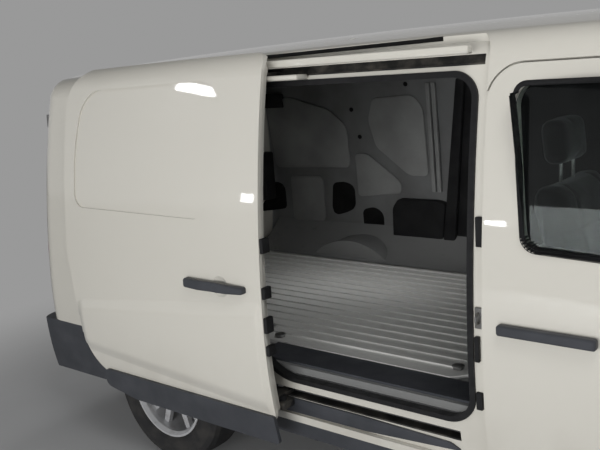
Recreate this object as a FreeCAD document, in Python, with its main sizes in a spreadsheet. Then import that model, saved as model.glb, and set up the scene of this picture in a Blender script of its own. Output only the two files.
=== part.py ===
# Compact panel van, long wheelbase, parked with its right-hand sliding door run back.
# Frame: +X to the nose, +Y to the left side, +Z up, origin on the ground under the middle.
# Millimetres throughout.
import FreeCAD, Part
import math
import os
from FreeCAD import Placement, Rotation, Vector
import Sketcher

doc = FreeCAD.newDocument("panel_van")

# Driving sizes: name, value, what it measures
SIZES = (
    ("body_length", 4910, "nose of the front bumper to the back of the rear bumper"),
    ("body_width", 1860, "over the panels at the belt"),
    ("roof_height", 1860, "crown of the roof above the ground"),
    ("wheelbase", 3100, "front axle to rear axle"),
    ("front_overhang", 890, "front axle to the nose"),
    ("track", 1590, "between tyre centres on one axle"),
    ("belt_height", 800, "where the sides are widest"),
    ("side_tumble", 95, "how far the side leans in between belt and shoulder"),
    ("shoulder_height", 1700, "top of the flat of the side"),
    ("side_tuck", 62, "how far the side turns in at the sill"),
    ("tuck_height", 300, "height where side_tuck is measured"),
    ("underside", 230, "lower edge of the painted body"),
    ("roof_round", 115, "radius between side and roof"),
    ("roof_crown", 60, "drop of the roof from its middle to roof_crown_half"),
    ("roof_crown_half", 735, "half width over which roof_crown is measured"),
    ("plan_taper", 25, "narrowing of each side at nose and tail"),
    ("roof_fall", 58, "drop of the roof at nose and tail"),
    ("screen_base_forward", 1500, "windscreen line at its foot, X"),
    ("screen_base_height", 1105, "windscreen line at its foot, Z"),
    ("screen_top_forward", 760, "windscreen line at the header, X"),
    ("screen_top_height", 1790, "windscreen line at the header, Z"),
    ("screen_bow", 2500, "radius of the windscreen across the van"),
    ("screen_round", 90, "radius of the edges round the windscreen"),
    ("tail_setback", 55, "rear face ahead of the rear bumper, at tail_height"),
    ("tail_height", 900, "height where tail_setback is measured"),
    ("tail_lean", 5, "lean of the rear face, degrees"),
    ("tail_bow", 6750, "radius of the rear face across the van"),
    ("tail_round", 100, "radius of the edges round the rear face"),
    ("nose_bow", 6000, "radius of the nose across the van"),
    ("nose_height", 520, "height of the foremost line of the bumper"),
    ("nose_lean_up", 0.17, "how the nose falls back above that line"),
    ("nose_lean_down", 0.16, "how the nose falls back below that line"),
    ("bonnet_front_forward", 2385, "bonnet line at its front, X"),
    ("bonnet_front_height", 900, "bonnet line at its front, Z"),
    ("bonnet_back_forward", 1480, "bonnet line at its back, X"),
    ("bonnet_back_height", 1108, "bonnet line at its back, Z"),
    ("bonnet_bow", 4500, "radius of the bonnet across the van"),
    ("bonnet_round", 75, "radius of the edges round the bonnet"),
    ("bonnet_half", 735, "half width of the bonnet at its back"),
    ("bonnet_front_half", 640, "half width of the bonnet at its front"),
    ("wall", 55, "body side and roof, outer skin to inner skin"),
    ("door_depth", 55, "door, outer skin to inner skin"),
    ("skin", 16, "the outer flange of a door"),
    ("rebate", 22, "depth of the step in the body that a door shuts into"),
    ("shut_gap", 6, "gap between two outer skins"),
    ("door_step", 22, "door box behind the edge of its skin"),
    ("frame_step", 10, "body frame behind the edge of a door skin"),
    ("wing_depth", 22, "front wing"),
    ("bonnet_depth", 30, "bonnet"),
    ("bumper_depth", 50, "bumper skin and its carrier"),
    ("glass", 6, "thickness of a pane"),
    ("glass_set", 16, "door glass behind the outer skin"),
    ("seat_clear", 0.3, "between a piece and the seat it rests in"),
    ("pillar_forward", 45, "rear edge of the front door, X"),
    ("door_front_forward", 1125, "front edge of the front door, X"),
    ("door_foot", 385, "lower edge of the front door"),
    ("door_head", 1694, "upper edge of the front door"),
    ("slide_front_forward", 38, "front edge of the sliding door when shut, X"),
    ("slide_width", 1173, "width of the sliding door"),
    ("slide_foot", 405, "lower edge of the sliding door"),
    ("slide_head", 1790, "upper edge of the sliding door"),
    ("slide_travel", 804, "how far the sliding door stands back"),
    ("slide_out", 110, "how far the sliding door stands off its shut place"),
    ("entry_front_forward", 8, "front edge of the side opening, X"),
    ("entry_width", 1065, "width of the side opening at half height"),
    ("entry_sill", 538, "lower edge of the side opening"),
    ("entry_head", 1682, "upper edge of the side opening"),
    ("floor_height", 590, "top of the load floor pan"),
    ("cab_floor_height", 400, "top of the cab floor"),
    ("floor_depth", 30, "load floor pan"),
    ("arch_radius", 368, "wheel arch"),
    ("arch_wall", 14, "sheet of the inner wheel arch"),
    ("arch_inner_half", 608, "inner faces of the rear wheelhouses, half distance"),
    ("tyre_radius", 326, "wheel radius over the tread"),
    ("tyre_width", 205, "tyre section"),
    ("tyre_shoulder", 34, "rounding of the tread edges"),
    ("rim_radius", 212, "outer edge of the rim"),
    ("rim_width", 184, "rim across its flanges"),
    ("rim_wall", 9, "rim barrel"),
    ("hub_radius", 72, "centre of the wheel"),
    ("hub_bore", 33, "hole of the wheel over the axle spigot"),
    ("spigot_clear", 0.05, "radial running clearance at the spigot"),
    ("rear_door_foot", 572, "lower edge of the rear doors"),
    ("rear_door_head", 1738, "upper edge of the rear doors"),
    ("rear_door_half", 700, "outer edges of the rear doors, half distance"),
    ("rear_split", -130, "where the two rear doors meet, Y"),
    ("hinge_pin", 8, "radius of a door hinge pin"),
    ("pin_clear", 0.4, "radial clearance on a hinge pin"),
    ("front_pin_back", 45, "front door pin behind the edge of the door"),
    ("front_pin_inboard", 70, "front door pin inboard of the widest skin"),
    ("rear_pin_out", 34, "rear door pin outboard of the edge of the door"),
    ("rear_pin_proud", 20, "rear door pin behind the skin of the rear face"),
    ("plate_front_gap", 75, "front edge of the load floor plate behind the middle of the van"),
    ("plate_half", 697, "half width of the load floor plate"),
    ("plate_depth", 12, "load floor plate without its ribs"),
    ("rail_half", 430, "long members of the underframe, half distance"),
    ("rail_width", 70, "long member across the van"),
    ("king_inboard", 75, "steering axis inboard of the tyre's middle"),
    ("joint_reach", 150, "steering joints above and below the axle"),
    ("arm_gap", 6, "between the upright and an arm"),
    ("arm_depth", 20, "suspension arm"),
    ("king_pin", 12, "radius of a steering joint pin"),
    ("drum_back", 92, "inner face of a rear drum inboard of the tyre's middle"),
    ("drum_radius", 125, "rear brake drum"),
    ("disc_back", 16, "inner face of the wheel's centre outboard of the tyre's middle"),
    ("brake_radius", 140, "front brake disc"),
    ("roof_point", 4.25, "radius of the holes for roof bars"),
    ("roof_seat", 1812, "flat seats round the roof bar holes, above the ground"),
    ("bonnet_pin_forward", 1380, "bonnet hinge pin, X"),
    ("bonnet_pin_height", 985, "bonnet hinge pin, Z"),
)

sheet = doc.addObject("Spreadsheet::Sheet", "sizes")
for row, (alias, number, words) in enumerate(SIZES, start=1):
    sheet.set("A%d" % row, words)
    sheet.set("B%d" % row, str(number))
    sheet.setAlias("B%d" % row, alias)
doc.recompute()


class Sizes:
    """Every size of the sheet as an attribute, in millimetres."""


S = Sizes()
for alias, _number, _words in SIZES:
    setattr(S, alias, float(sheet.get(alias)))

# Places that follow from the sizes, as numbers and as expressions for bound pieces
HALF_LENGTH = S.body_length / 2
HALF_WIDTH = S.body_width / 2
FRONT_AXLE = HALF_LENGTH - S.front_overhang
REAR_AXLE = FRONT_AXLE - S.wheelbase
FRONT_AXLE_X = "sizes.body_length / 2 - sizes.front_overhang"
REAR_AXLE_X = FRONT_AXLE_X + " - sizes.wheelbase"
LEFT = 1
RIGHT = -1
SIDES = (("left", LEFT), ("right", RIGHT))
BIG = 3000.0

subparts = []


def keep(item, label):
    """Name a finished piece and put it on the list that is written out."""
    item.Label = label
    subparts.append(item)
    return item


def feature(label, shape):
    """A piece whose form comes from the body's curved surfaces."""
    item = doc.addObject("Part::Feature", label + "_form")
    item.Shape = shape
    return keep(item, label)


def primitive(kind, name, place, **sizes):
    """A Part primitive with its sizes and place bound to the sheet."""
    item = doc.addObject(kind, name)
    for key, rule in sizes.items():
        item.setExpression(key, rule)
    for key, rule in zip("xyz", place):
        item.setExpression("Placement.Base." + key, rule)
    return item


def joined(kind, name, items):
    """A Part::MultiFuse or Part::MultiCommon of earlier pieces."""
    item = doc.addObject(kind, name)
    item.Shapes = items
    return item


def gathered(name, items):
    """Separate solids that share a node."""
    item = doc.addObject("Part::Compound", name)
    item.Links = items
    return item


def minus(name, base, tool):
    """One piece cut by another."""
    item = doc.addObject("Part::Cut", name)
    item.Base = base
    item.Tool = tool
    return item


def turned(item, axis, degrees):
    """Turn a primitive about a frame axis, at its own base point."""
    item.setExpression("Placement.Rotation.Axis.x", str(axis[0]))
    item.setExpression("Placement.Rotation.Axis.y", str(axis[1]))
    item.setExpression("Placement.Rotation.Axis.z", str(axis[2]))
    item.setExpression("Placement.Rotation.Angle", str(degrees))
    return item


def plane_of(body, role):
    """One of a body's own origin planes."""
    for item in body.Origin.OriginFeatures:
        if item.Role == role:
            return item
    raise ValueError(role)


def sketch_polygon(body, name, role, points):
    """A closed outline whose corners are bound to the sheet, on an origin plane."""
    sketch = body.newObject("Sketcher::SketchObject", name)
    sketch.AttachmentSupport = [(plane_of(body, role), "")]
    sketch.MapMode = "FlatFace"
    doc.recompute()
    corners = [Vector(reading(u), reading(v), 0) for u, v in points]
    count = len(corners)
    for i in range(count):
        sketch.addGeometry(Part.LineSegment(corners[i], corners[(i + 1) % count]), False)
    for i in range(count):
        sketch.addConstraint(Sketcher.Constraint("Coincident", i, 2, (i + 1) % count, 1))
    for i, (u, v) in enumerate(points):
        for kind, rule, number in (("DistanceX", u, corners[i].x), ("DistanceY", v, corners[i].y)):
            index = sketch.addConstraint(Sketcher.Constraint(kind, -1, 1, i, 1, number))
            sketch.renameConstraint(index, "%s%d" % (kind[-1].lower() + "_corner_", i))
            sketch.setExpression("Constraints.%s%d" % (kind[-1].lower() + "_corner_", i), rule)
    doc.recompute()
    return sketch


def reading(rule):
    """The value of an expression on the sheet."""
    return float(sheet.evalExpression(rule.replace("sizes.", "")))


def pad(body, sketch, length, both=False, back=False):
    """A padded sketch with its length bound to the sheet."""
    item = body.newObject("PartDesign::Pad", sketch.Name + "_pad")
    item.Profile = sketch
    item.setExpression("Length", length)
    item.Midplane = both
    item.Reversed = back
    doc.recompute()
    return item


# Curved surfaces of the body, each as a solid that can be set in by a thickness


def bulge_radius(sag, half):
    """Radius of an arc that falls by sag over half its chord."""
    return (sag * sag + half * half) / (2 * sag)


SIDE_UPPER = bulge_radius(S.side_tumble, S.shoulder_height - S.belt_height)
SIDE_LOWER = bulge_radius(S.side_tuck, S.belt_height - S.tuck_height)
CROWN = bulge_radius(S.roof_crown, S.roof_crown_half)


def meeting(first, first_radius, second, second_radius):
    """The outer, upper meeting point of two circles in a section."""
    across = second[0] - first[0]
    up = second[1] - first[1]
    apart = math.hypot(across, up)
    along = (first_radius ** 2 - second_radius ** 2 + apart ** 2) / (2 * apart)
    off = math.sqrt(first_radius ** 2 - along ** 2)
    middle = (first[0] + along * across / apart, first[1] + along * up / apart)
    choices = [(middle[0] + sign * off * up / apart, middle[1] - sign * off * across / apart)
               for sign in (1, -1)]
    return max(choices, key=lambda point: point[0] + point[1])


def half_width_at(forward, height):
    """Half width of the outer skin below the roof rounding."""
    widest = HALF_WIDTH - S.plan_taper * (forward / HALF_LENGTH) ** 2
    radius = SIDE_UPPER if height > S.belt_height else SIDE_LOWER
    rise = height - S.belt_height
    return widest - radius + math.sqrt(radius ** 2 - rise ** 2)


def section(forward, inset):
    """Left half of the cross-section: floor line, two side arcs, corner arc and crown."""
    share = (forward / HALF_LENGTH) ** 2
    widest = HALF_WIDTH - S.plan_taper * share
    top = S.roof_height - S.roof_fall * share
    upper = (widest - SIDE_UPPER, S.belt_height)
    lower = (widest - SIDE_LOWER, S.belt_height)
    crown = (0.0, top - CROWN)
    corner = meeting(upper, SIDE_UPPER - S.roof_round, crown, CROWN - S.roof_round)
    foot = math.asin((S.underside + inset - S.belt_height) / (SIDE_LOWER - inset))
    side_end = math.atan2(corner[1] - upper[1], corner[0] - upper[0])
    crown_end = math.atan2(corner[1] - crown[1], corner[0] - crown[0])

    def point(centre, radius, angle):
        across = centre[0] + radius * math.cos(angle)
        return Vector(forward, across, centre[1] + radius * math.sin(angle))

    def arc(centre, radius, start, end):
        places = [point(centre, radius, angle) for angle in (start, (start + end) / 2, end)]
        return Part.Arc(*places).toShape()

    rows = (
        (lower, SIDE_LOWER - inset, foot, 0.0),
        (upper, SIDE_UPPER - inset, 0.0, side_end),
        (corner, S.roof_round - inset, side_end, crown_end),
    )
    side = [arc(centre, radius, start, end) for centre, radius, start, end in rows]
    middle_top = Vector(forward, 0, top - inset)
    middle_foot = Vector(forward, 0, S.underside + inset)
    quarter = (crown_end + math.pi / 2) / 2
    across = Part.Arc(
        point(crown, CROWN - inset, crown_end), point(crown, CROWN - inset, quarter), middle_top
    ).toShape()
    foot_line = Part.makeLine(middle_foot, point(lower, SIDE_LOWER - inset, foot))
    return Part.Wire([foot_line] + side + [across, Part.makeLine(middle_top, middle_foot)])


SCREEN_FOOT = Vector(S.screen_base_forward, 0, S.screen_base_height)
SCREEN_TOP = Vector(S.screen_top_forward, 0, S.screen_top_height)
SCREEN_UP = (SCREEN_TOP - SCREEN_FOOT).normalize()
SCREEN_OUT = Vector(SCREEN_UP.z, 0, -SCREEN_UP.x)
TAIL_ANGLE = math.radians(S.tail_lean)
TAIL_UP = Vector(math.sin(TAIL_ANGLE), 0, math.cos(TAIL_ANGLE))
TAIL_OUT = Vector(-TAIL_UP.z, 0, TAIL_UP.x)
TAIL_POINT = Vector(-HALF_LENGTH + S.tail_setback, 0, S.tail_height)
BONNET_FRONT = Vector(S.bonnet_front_forward, 0, S.bonnet_front_height)
BONNET_BACK = Vector(S.bonnet_back_forward, 0, S.bonnet_back_height)
BONNET_ALONG = (BONNET_BACK - BONNET_FRONT).normalize()
BONNET_OUT = Vector(BONNET_ALONG.z, 0, -BONNET_ALONG.x)


def bowed(point, along, outward, radius, inset):
    """A solid whose outward face bows across the van and runs straight along the given line."""
    return Part.makeCylinder(radius - inset, 4 * BIG, point - outward * radius - along * 2 * BIG, along)


def edges_round(shape, radius, floor_line):
    """Edges of the cylindrical face of this radius, apart from the underside and the middle."""
    chosen = []
    for face in shape.Faces:
        if isinstance(face.Surface, Part.Cylinder) and abs(face.Surface.Radius - radius) < 1:
            for edge in face.Edges:
                middle = edge.valueAt((edge.FirstParameter + edge.LastParameter) / 2)
                if middle.z > floor_line and middle.y > 1:
                    chosen.append(edge)
    return chosen


cabins = {}


def cabin(inset):
    """Left half of all that lies behind the windscreen, set in by a thickness."""
    if inset not in cabins:
        ends = [section(forward, inset) for forward in (-HALF_LENGTH - 60, 0.0, HALF_LENGTH + 60)]
        solid = Part.makeLoft(ends, True, False)
        solid = solid.common(bowed(SCREEN_FOOT, SCREEN_UP, SCREEN_OUT, S.screen_bow, inset))
        solid = solid.common(bowed(TAIL_POINT, TAIL_UP, TAIL_OUT, S.tail_bow, inset)).Solids[0]
        floor_line = S.underside + inset + 1
        solid = solid.makeFillet(S.screen_round - inset,
                                 edges_round(solid, S.screen_bow - inset, floor_line))
        solid = solid.makeFillet(S.tail_round - inset,
                                 edges_round(solid, S.tail_bow - inset, floor_line))
        cabins[inset] = solid
    return cabins[inset]


def rounded(points, place):
    """A closed outline of straight lines with tangent arcs; points are u, v, radius."""
    count = len(points)
    ends = []
    for i, (u, v, radius) in enumerate(points):
        here = Vector(u, v, 0)
        before = Vector(points[i - 1][0], points[i - 1][1], 0) - here
        after = Vector(points[(i + 1) % count][0], points[(i + 1) % count][1], 0) - here
        before.normalize()
        after.normalize()
        if radius <= 0:
            ends.append((here, here, None))
            continue
        half = before.getAngle(after) / 2
        reach = radius / math.tan(half)
        middle = (before + after).normalize()
        crest = here + middle * (radius / math.sin(half) - radius)
        ends.append((here + before * reach, here + after * reach, crest))
    edges = []
    for i, (start, end, crest) in enumerate(ends):
        if crest is not None:
            edges.append(Part.Arc(place(start), place(crest), place(end)).toShape())
        following = ends[(i + 1) % count][0]
        if end.distanceToPoint(following) > 1e-6:
            edges.append(Part.makeLine(place(end), place(following)))
    return Part.Wire(edges)


# Plan of the nose: forward, half width, corner radius
NOSE_PLAN = (
    (500, 935, 0),
    (1700, 935, 4000),
    (HALF_LENGTH - 30, 775, 260),
    (HALF_LENGTH + 15, 0, S.nose_bow),
)
NOSE_START = 1000.0
noses = {}


def leaning(wire, lean):
    """The plan drawn out upwards and downwards, leaning back by a share of the height."""
    depth = 600.0
    drawn = wire.copy()
    drawn.translate(Vector(lean * (S.nose_height + depth), 0, -depth))
    return Part.Face(drawn).extrude(Vector(-lean * BIG, 0, BIG))


def nose(inset):
    """Left half of all ahead of the front doors and under the bonnet, set in by a thickness."""
    if inset not in noses:
        plan = list(NOSE_PLAN) + [(u, -v, radius) for u, v, radius in reversed(NOSE_PLAN[:-1])]
        wire = rounded(plan, lambda point: point)
        if inset:
            wire = wire.makeOffset2D(-inset)
        profile = Part.Face(section(S.door_front_forward + S.shut_gap, inset))
        profile.translate(Vector(NOSE_START - S.door_front_forward - S.shut_gap, 0, 0))
        solid = profile.extrude(Vector(BIG / 2, 0, 0))
        solid = solid.common(leaning(wire, S.nose_lean_up))
        solid = solid.common(leaning(wire, -S.nose_lean_down))
        top = bowed(BONNET_FRONT, BONNET_ALONG, BONNET_OUT, S.bonnet_bow, inset)
        solid = solid.common(top).Solids[0]
        edges = [edge for edge in edges_round(solid, S.bonnet_bow - inset, S.nose_height)
                 if edge.BoundBox.XMax > NOSE_START + inset + 1]
        noses[inset] = solid.makeFillet(S.bonnet_round - inset, edges)
    return noses[inset]


# Side outlines: forward, up, corner radius
def pillar_line(height, back):
    """X of a line parallel to the windscreen seen from the side, set back by a distance."""
    foot = SCREEN_FOOT - SCREEN_OUT * back
    return foot.x + (height - foot.z) * SCREEN_UP.x / SCREEN_UP.z


PILLAR_BACK = 195.0
FRONT_DOOR = (
    (S.pillar_forward, S.door_foot, 60),
    (S.pillar_forward, S.door_head, 110),
    (pillar_line(S.door_head, PILLAR_BACK), S.door_head, 120),
    (S.door_front_forward, 1190, 60),
    (S.door_front_forward, 640, 150),
    (S.door_front_forward - 85, S.door_foot, 110),
)
WINDOW_BACK = PILLAR_BACK + 45
FRONT_WINDOW = (
    (S.pillar_forward + 125, 1148, 60),
    (S.pillar_forward + 78, S.door_head - 52, 70),
    (pillar_line(S.door_head - 52, WINDOW_BACK), S.door_head - 52, 60),
    (S.door_front_forward - 70, 1184, 30),
    (S.door_front_forward - 66, 1108, 36),
)
SLIDE_BACK = S.slide_front_forward - S.slide_width
SLIDING_DOOR = (
    (S.slide_front_forward, S.slide_foot, 50),
    (S.slide_front_forward, S.slide_head, 60),
    (SLIDE_BACK + 30, S.slide_head, 190),
    (SLIDE_BACK, 1000, 900),
    (SLIDE_BACK + 60, S.slide_foot, 200),
)
ENTRY_BACK = S.entry_front_forward - S.entry_width
ENTRY = (
    (S.entry_front_forward, S.entry_sill, 110),
    (S.entry_front_forward, S.entry_head, 90),
    (ENTRY_BACK + 20, S.entry_head, 140),
    (ENTRY_BACK, 900, 300),
    (ENTRY_BACK + 190, S.entry_sill, 190),
)


def side_prism(outline, side, grow=0.0):
    """A side outline drawn out from the middle plane past the skin on one side."""
    wire = rounded(outline, lambda point: Vector(point.x, 0, point.y))
    if grow:
        wire = wire.makeOffset2D(grow)
    return Part.Face(wire).extrude(Vector(0, side * BIG / 2, 0))


def block(low, high):
    """A plain box between two corners, for trimming."""
    return Part.makeBox(high[0] - low[0], high[1] - low[1], high[2] - low[2], Vector(*low))


def mirrored(shape):
    """The same piece on the other side."""
    return shape.mirror(Vector(0, 0, 0), Vector(0, 1, 0))


def both(shape):
    """A left piece and its mirror image as two solids of one node."""
    return Part.Compound([shape, mirrored(shape)])


def door_panel(outline, side, opening=()):
    """A door: outer skin to the edge, its box stepped in behind it, and its windows cut."""
    prism = side_prism(outline, side)
    flange = cabin(0).common(prism).cut(cabin(S.skin))
    box = cabin(S.skin).common(side_prism(outline, side, -S.door_step)).cut(cabin(S.door_depth))
    panel = flange.fuse(box)
    for hole in opening:
        panel = panel.cut(side_prism(hole, side))
    return panel.Solids[0]


ROOF_HALF = 690.0
REAR_SKIRT = 300.0
FRONT_SPLIT = S.screen_top_forward + 10


def tail_prism(low, high, grow=0.0):
    """A door outline seen from behind, drawn through the rear face; corners are Y and Z."""
    corner = 70
    points = ((low, S.rear_door_foot, corner), (high, S.rear_door_foot, corner),
              (high, S.rear_door_head, corner), (low, S.rear_door_head, corner))
    wire = rounded(points, lambda point: Vector(-HALF_LENGTH - 100, point.x, point.y))
    if grow:
        wire = wire.makeOffset2D(grow)
    return Part.Face(wire).extrude(Vector(400, 0, 0))


def screen_prism(grow=0.0):
    """The windscreen's outline drawn through its surface; points are Y and the way up the slope."""
    points = ((-800, -60, 60), (800, -60, 60), (668, 962, 90), (-668, 962, 90))
    base = SCREEN_FOOT - SCREEN_OUT * 300
    wire = rounded(points, lambda point: base + SCREEN_UP * point.y + Vector(0, point.x, 0))
    if grow:
        wire = wire.makeOffset2D(grow)
    return Part.Face(wire).extrude(SCREEN_OUT * 500)


def largest(shape):
    """The main solid of a shape, without slivers that a cut may leave."""
    return max(shape.Solids, key=lambda solid: solid.Volume)


def without(shape, tools):
    """A shape cut by each tool in turn; the largest solid that is left."""
    for tool in tools:
        shape = shape.cut(tool)
    return largest(shape)


def stepped(prism_at):
    """Cutting tools for a door's opening: wide in the outer layer, narrower behind it."""
    return [prism_at(S.shut_gap).cut(cabin(S.rebate)), prism_at(-S.frame_step)]


REAR_DOORS = (-S.rear_door_half, S.rear_door_half)
ARCH_REAR = Part.makeCylinder(
    S.arch_radius, BIG, Vector(REAR_AXLE, 0, S.tyre_radius), Vector(0, 1, 0))
ARCH_FRONT = Part.makeCylinder(
    S.arch_radius + 8, BIG, Vector(FRONT_AXLE, 0, S.tyre_radius), Vector(0, 1, 0))
SILL_FOOT = S.tuck_height
BUMPER_LINE = 560.0
REAR_BUMPER_START = REAR_AXLE - S.arch_radius - 60

# Swept space of a front door's leading edge about its pin, as a turned solid
FRONT_PIN = Vector(S.door_front_forward - S.front_pin_back, HALF_WIDTH - S.front_pin_inboard, 0)


SWEEP_HEAD = 1262.0


def front_door_sweep(clear):
    """Turned solid that holds the door's leading edge at every angle."""
    low, high = S.door_foot - 20, SWEEP_HEAD
    heights = [low, 500, 700, 900, 1100, 1190, 1215, 1250, high]
    outer = []
    for height in heights:
        skin = half_width_at(S.door_front_forward, height) - FRONT_PIN.y
        edge = min(S.door_front_forward, pillar_line(height, PILLAR_BACK)) - FRONT_PIN.x
        outer.append(Vector(math.hypot(edge, max(skin, 0)) + clear, 0, height))
    points = [Vector(0, 0, heights[0])] + outer + [Vector(0, 0, heights[-1])]
    wire = Part.makePolygon(points + [points[0]])
    solid = Part.Face(wire).revolve(Vector(0, 0, 0), Vector(0, 0, 1), 360)
    solid.translate(FRONT_PIN)
    return solid


DOOR_SWEEP = front_door_sweep(S.shut_gap)

# Body side, from the windscreen pillar to the tail, stepped where the doors shut into it
flank = block((-HALF_LENGTH - 50, ROOF_HALF, SILL_FOOT), (FRONT_SPLIT, HALF_WIDTH + 50, BIG))
pillar = block((FRONT_SPLIT, 0, SILL_FOOT), (S.screen_base_forward, HALF_WIDTH + 50, BIG))
WING_FOOT_LINE = 1040.0
ahead = block((S.door_front_forward + S.shut_gap, -1, 0), (BIG, HALF_WIDTH + 50, WING_FOOT_LINE))
under_tail = block((-HALF_LENGTH - 50, 0, 0), (REAR_BUMPER_START, HALF_WIDTH + 50, BUMPER_LINE))
LAMP = (
    (-HALF_LENGTH - 50, 890, 0),
    (-HALF_LENGTH - 50, 1300, 0),
    (-HALF_LENGTH + 105, 1300, 20),
    (-HALF_LENGTH + 175, 930, 60),
    (-HALF_LENGTH + 150, 890, 20),
)
lamp_zone = block((-HALF_LENGTH - 60, S.rear_door_half + 14, 0), (0, HALF_WIDTH + 50, BIG))
rear_lamp_prism = side_prism(LAMP, LEFT).common(lamp_zone)
SILL_TOP = 366.0
SILL_SKIN = 12.0
sill_band = block((REAR_AXLE, 0, 0), (S.door_front_forward + S.shut_gap, BIG, SILL_TOP))
sill_moulding = cabin(0).common(sill_band).common(flank)
sill_moulding = without(sill_moulding, [cabin(SILL_SKIN), ARCH_REAR, DOOR_SWEEP])
side = cabin(0).common(flank.fuse(pillar)).cut(cabin(S.wall))
side = without(
    side,
    stepped(lambda grow: side_prism(FRONT_DOOR, LEFT, grow))
    + stepped(lambda grow: tail_prism(*REAR_DOORS, grow))
    + [ARCH_REAR, screen_prism(S.seat_clear), nose(0), ahead, under_tail, rear_lamp_prism, DOOR_SWEEP,
       sill_band.cut(cabin(SILL_SKIN))],
)
feature("side_left", side)
# The right side is the same pressing with the entry cut, and the grooves that the rails lie in
TOP_RAIL = ((ENTRY_BACK - 20, 0, 1696), (S.entry_front_forward + 14, BIG, 1728))
CENTRE_RAIL = ((-HALF_LENGTH + 420, 0, 985), (SLIDE_BACK + 30, BIG, 1025))
LOW_RAIL = ((-985, 0, 468), (-60, BIG, 506))
RAIL_BACK = 48.0
DOOR_INNERMOST = 770.0
UNDER_ROOF = block((-BIG, -1, S.door_head), (BIG, DOOR_INNERMOST, BIG))
entry_tools = [
    side_prism(SLIDING_DOOR, LEFT, S.shut_gap).cut(cabin(S.rebate)).cut(UNDER_ROOF),
    side_prism(ENTRY, LEFT),
    block(*TOP_RAIL).cut(cabin(RAIL_BACK)),
    block(*CENTRE_RAIL).cut(cabin(S.rebate)),
    block(*LOW_RAIL),
]
feature("side_right", mirrored(without(side, entry_tools)))

# Rear lamps in the corners
feature("rear_lamps", both(cabin(0).common(
    side_prism(LAMP, LEFT, -S.seat_clear).common(lamp_zone.translated(Vector(0, S.seat_clear, 0)))
).cut(cabin(S.wall)).Solids[0]))

# Roof between the two sides
roof_zone = block((-HALF_LENGTH - 50, 0, S.rear_door_head - 300), (FRONT_SPLIT, ROOF_HALF, BIG))
roof_half = without(
    cabin(0).common(roof_zone).cut(cabin(S.wall)),
    stepped(lambda grow: tail_prism(*REAR_DOORS, grow)) + [screen_prism(S.seat_clear)],
)
ROOF_POINTS_X = (-600.0, 600.0)
ROOF_POINT_HALF = 600.0
ROOF_POINT_FOOT = 1785.0
ROOF_SEAT_RADIUS = 14.0
for forward in ROOF_POINTS_X:
    place = Vector(forward, ROOF_POINT_HALF, ROOF_POINT_FOOT)
    roof_half = roof_half.cut(Part.makeCylinder(S.roof_point, 200, place))
    seat = Vector(forward, ROOF_POINT_HALF, S.roof_seat)
    roof_half = roof_half.cut(Part.makeCylinder(ROOF_SEAT_RADIUS, 200, seat))
roof_half = largest(roof_half)
feature("roof", roof_half.fuse(mirrored(roof_half)).removeSplitter())

# Front doors, their glass, and the pane of the windscreen
front_door = door_panel(FRONT_DOOR, LEFT, (FRONT_WINDOW,))
# The flange is thinned where it swings past the foot of the windscreen pillar
thinned = block((FRONT_PIN.x - 65, 0, SWEEP_HEAD - 16), (BIG, FRONT_PIN.y + 25, SWEEP_HEAD + 50))
front_door = largest(front_door.cut(thinned))
front_pane = cabin(S.glass_set).common(side_prism(FRONT_WINDOW, LEFT, -S.seat_clear))
front_pane = largest(front_pane.cut(cabin(S.glass_set + S.glass)))
screen_half = without(cabin(0).common(screen_prism()), [cabin(S.glass), nose(0)])
feature("windscreen", screen_half.fuse(mirrored(screen_half)).removeSplitter())

# Rear doors
tail_zone = block((-HALF_LENGTH - 50, 0, S.rear_door_foot - 50), (-HALF_LENGTH + 350, HALF_WIDTH, BIG))


def whole_tail(inset):
    """Both halves of the tail, set in by a thickness."""
    half = cabin(inset).common(tail_zone)
    return half.fuse(mirrored(half)).removeSplitter()


tails = {inset: whole_tail(inset) for inset in (0, S.skin, S.door_depth)}


def rear_door(low, high):
    """One rear door: outer flange and the box stepped in behind it."""
    flange = tails[0].common(tail_prism(low, high)).cut(tails[S.skin])
    box = tails[S.skin].common(tail_prism(low, high, -S.door_step)).cut(tails[S.door_depth])
    return largest(flange.fuse(box))


half_gap = S.shut_gap / 2
rear_door_shapes = {
    "left": rear_door(S.rear_split + half_gap, S.rear_door_half),
    "right": rear_door(-S.rear_split + half_gap, S.rear_door_half),
}

# Sliding door, moulded shut and then set back and out
slide_place = Vector(-S.slide_travel, -S.slide_out, 0)
slide_panel = largest(door_panel(SLIDING_DOOR, LEFT).cut(UNDER_ROOF))
# The wide pressed panel in its upper half, and the dished cup behind the handle
DOOR_RECESS = (
    (SLIDE_BACK + 80, 1190, 60),
    (S.slide_front_forward - 245, 1183, 110),
    (S.slide_front_forward - 190, 1705, 110),
    (SLIDE_BACK + 145, 1690, 150),
    (SLIDE_BACK + 88, 1449, 900),
)
RECESS_DEPTH = 7.0
slide_panel = slide_panel.cut(side_prism(DOOR_RECESS, LEFT).cut(cabin(RECESS_DEPTH)))
cup_place = Vector(S.slide_front_forward - 205, half_width_at(0, 928) + 62, 936)
slide_panel = largest(slide_panel.cut(Part.makeSphere(75, cup_place)))
feature("sliding_door", mirrored(slide_panel).translated(slide_place))

# The door's lower moulding lies on its skin and hangs over the sill
MOULDING_FOOT, MOULDING_TOP = 318.0, 442.0
MOULDING_PROUD = 14.0
DOOR_MOULDING = (
    (S.slide_front_forward, MOULDING_FOOT, 20),
    (S.slide_front_forward, MOULDING_TOP, 10),
    (SLIDE_BACK + 136, MOULDING_TOP, 45),
    (SLIDE_BACK + 146, MOULDING_FOOT + 34, 30),
    (SLIDE_BACK + 330, MOULDING_FOOT, 120),
)
slide_trim = cabin(-MOULDING_PROUD).common(side_prism(DOOR_MOULDING, LEFT)).cut(cabin(-S.seat_clear))
feature("sliding_door_trim", mirrored(largest(slide_trim)).translated(slide_place))

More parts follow.
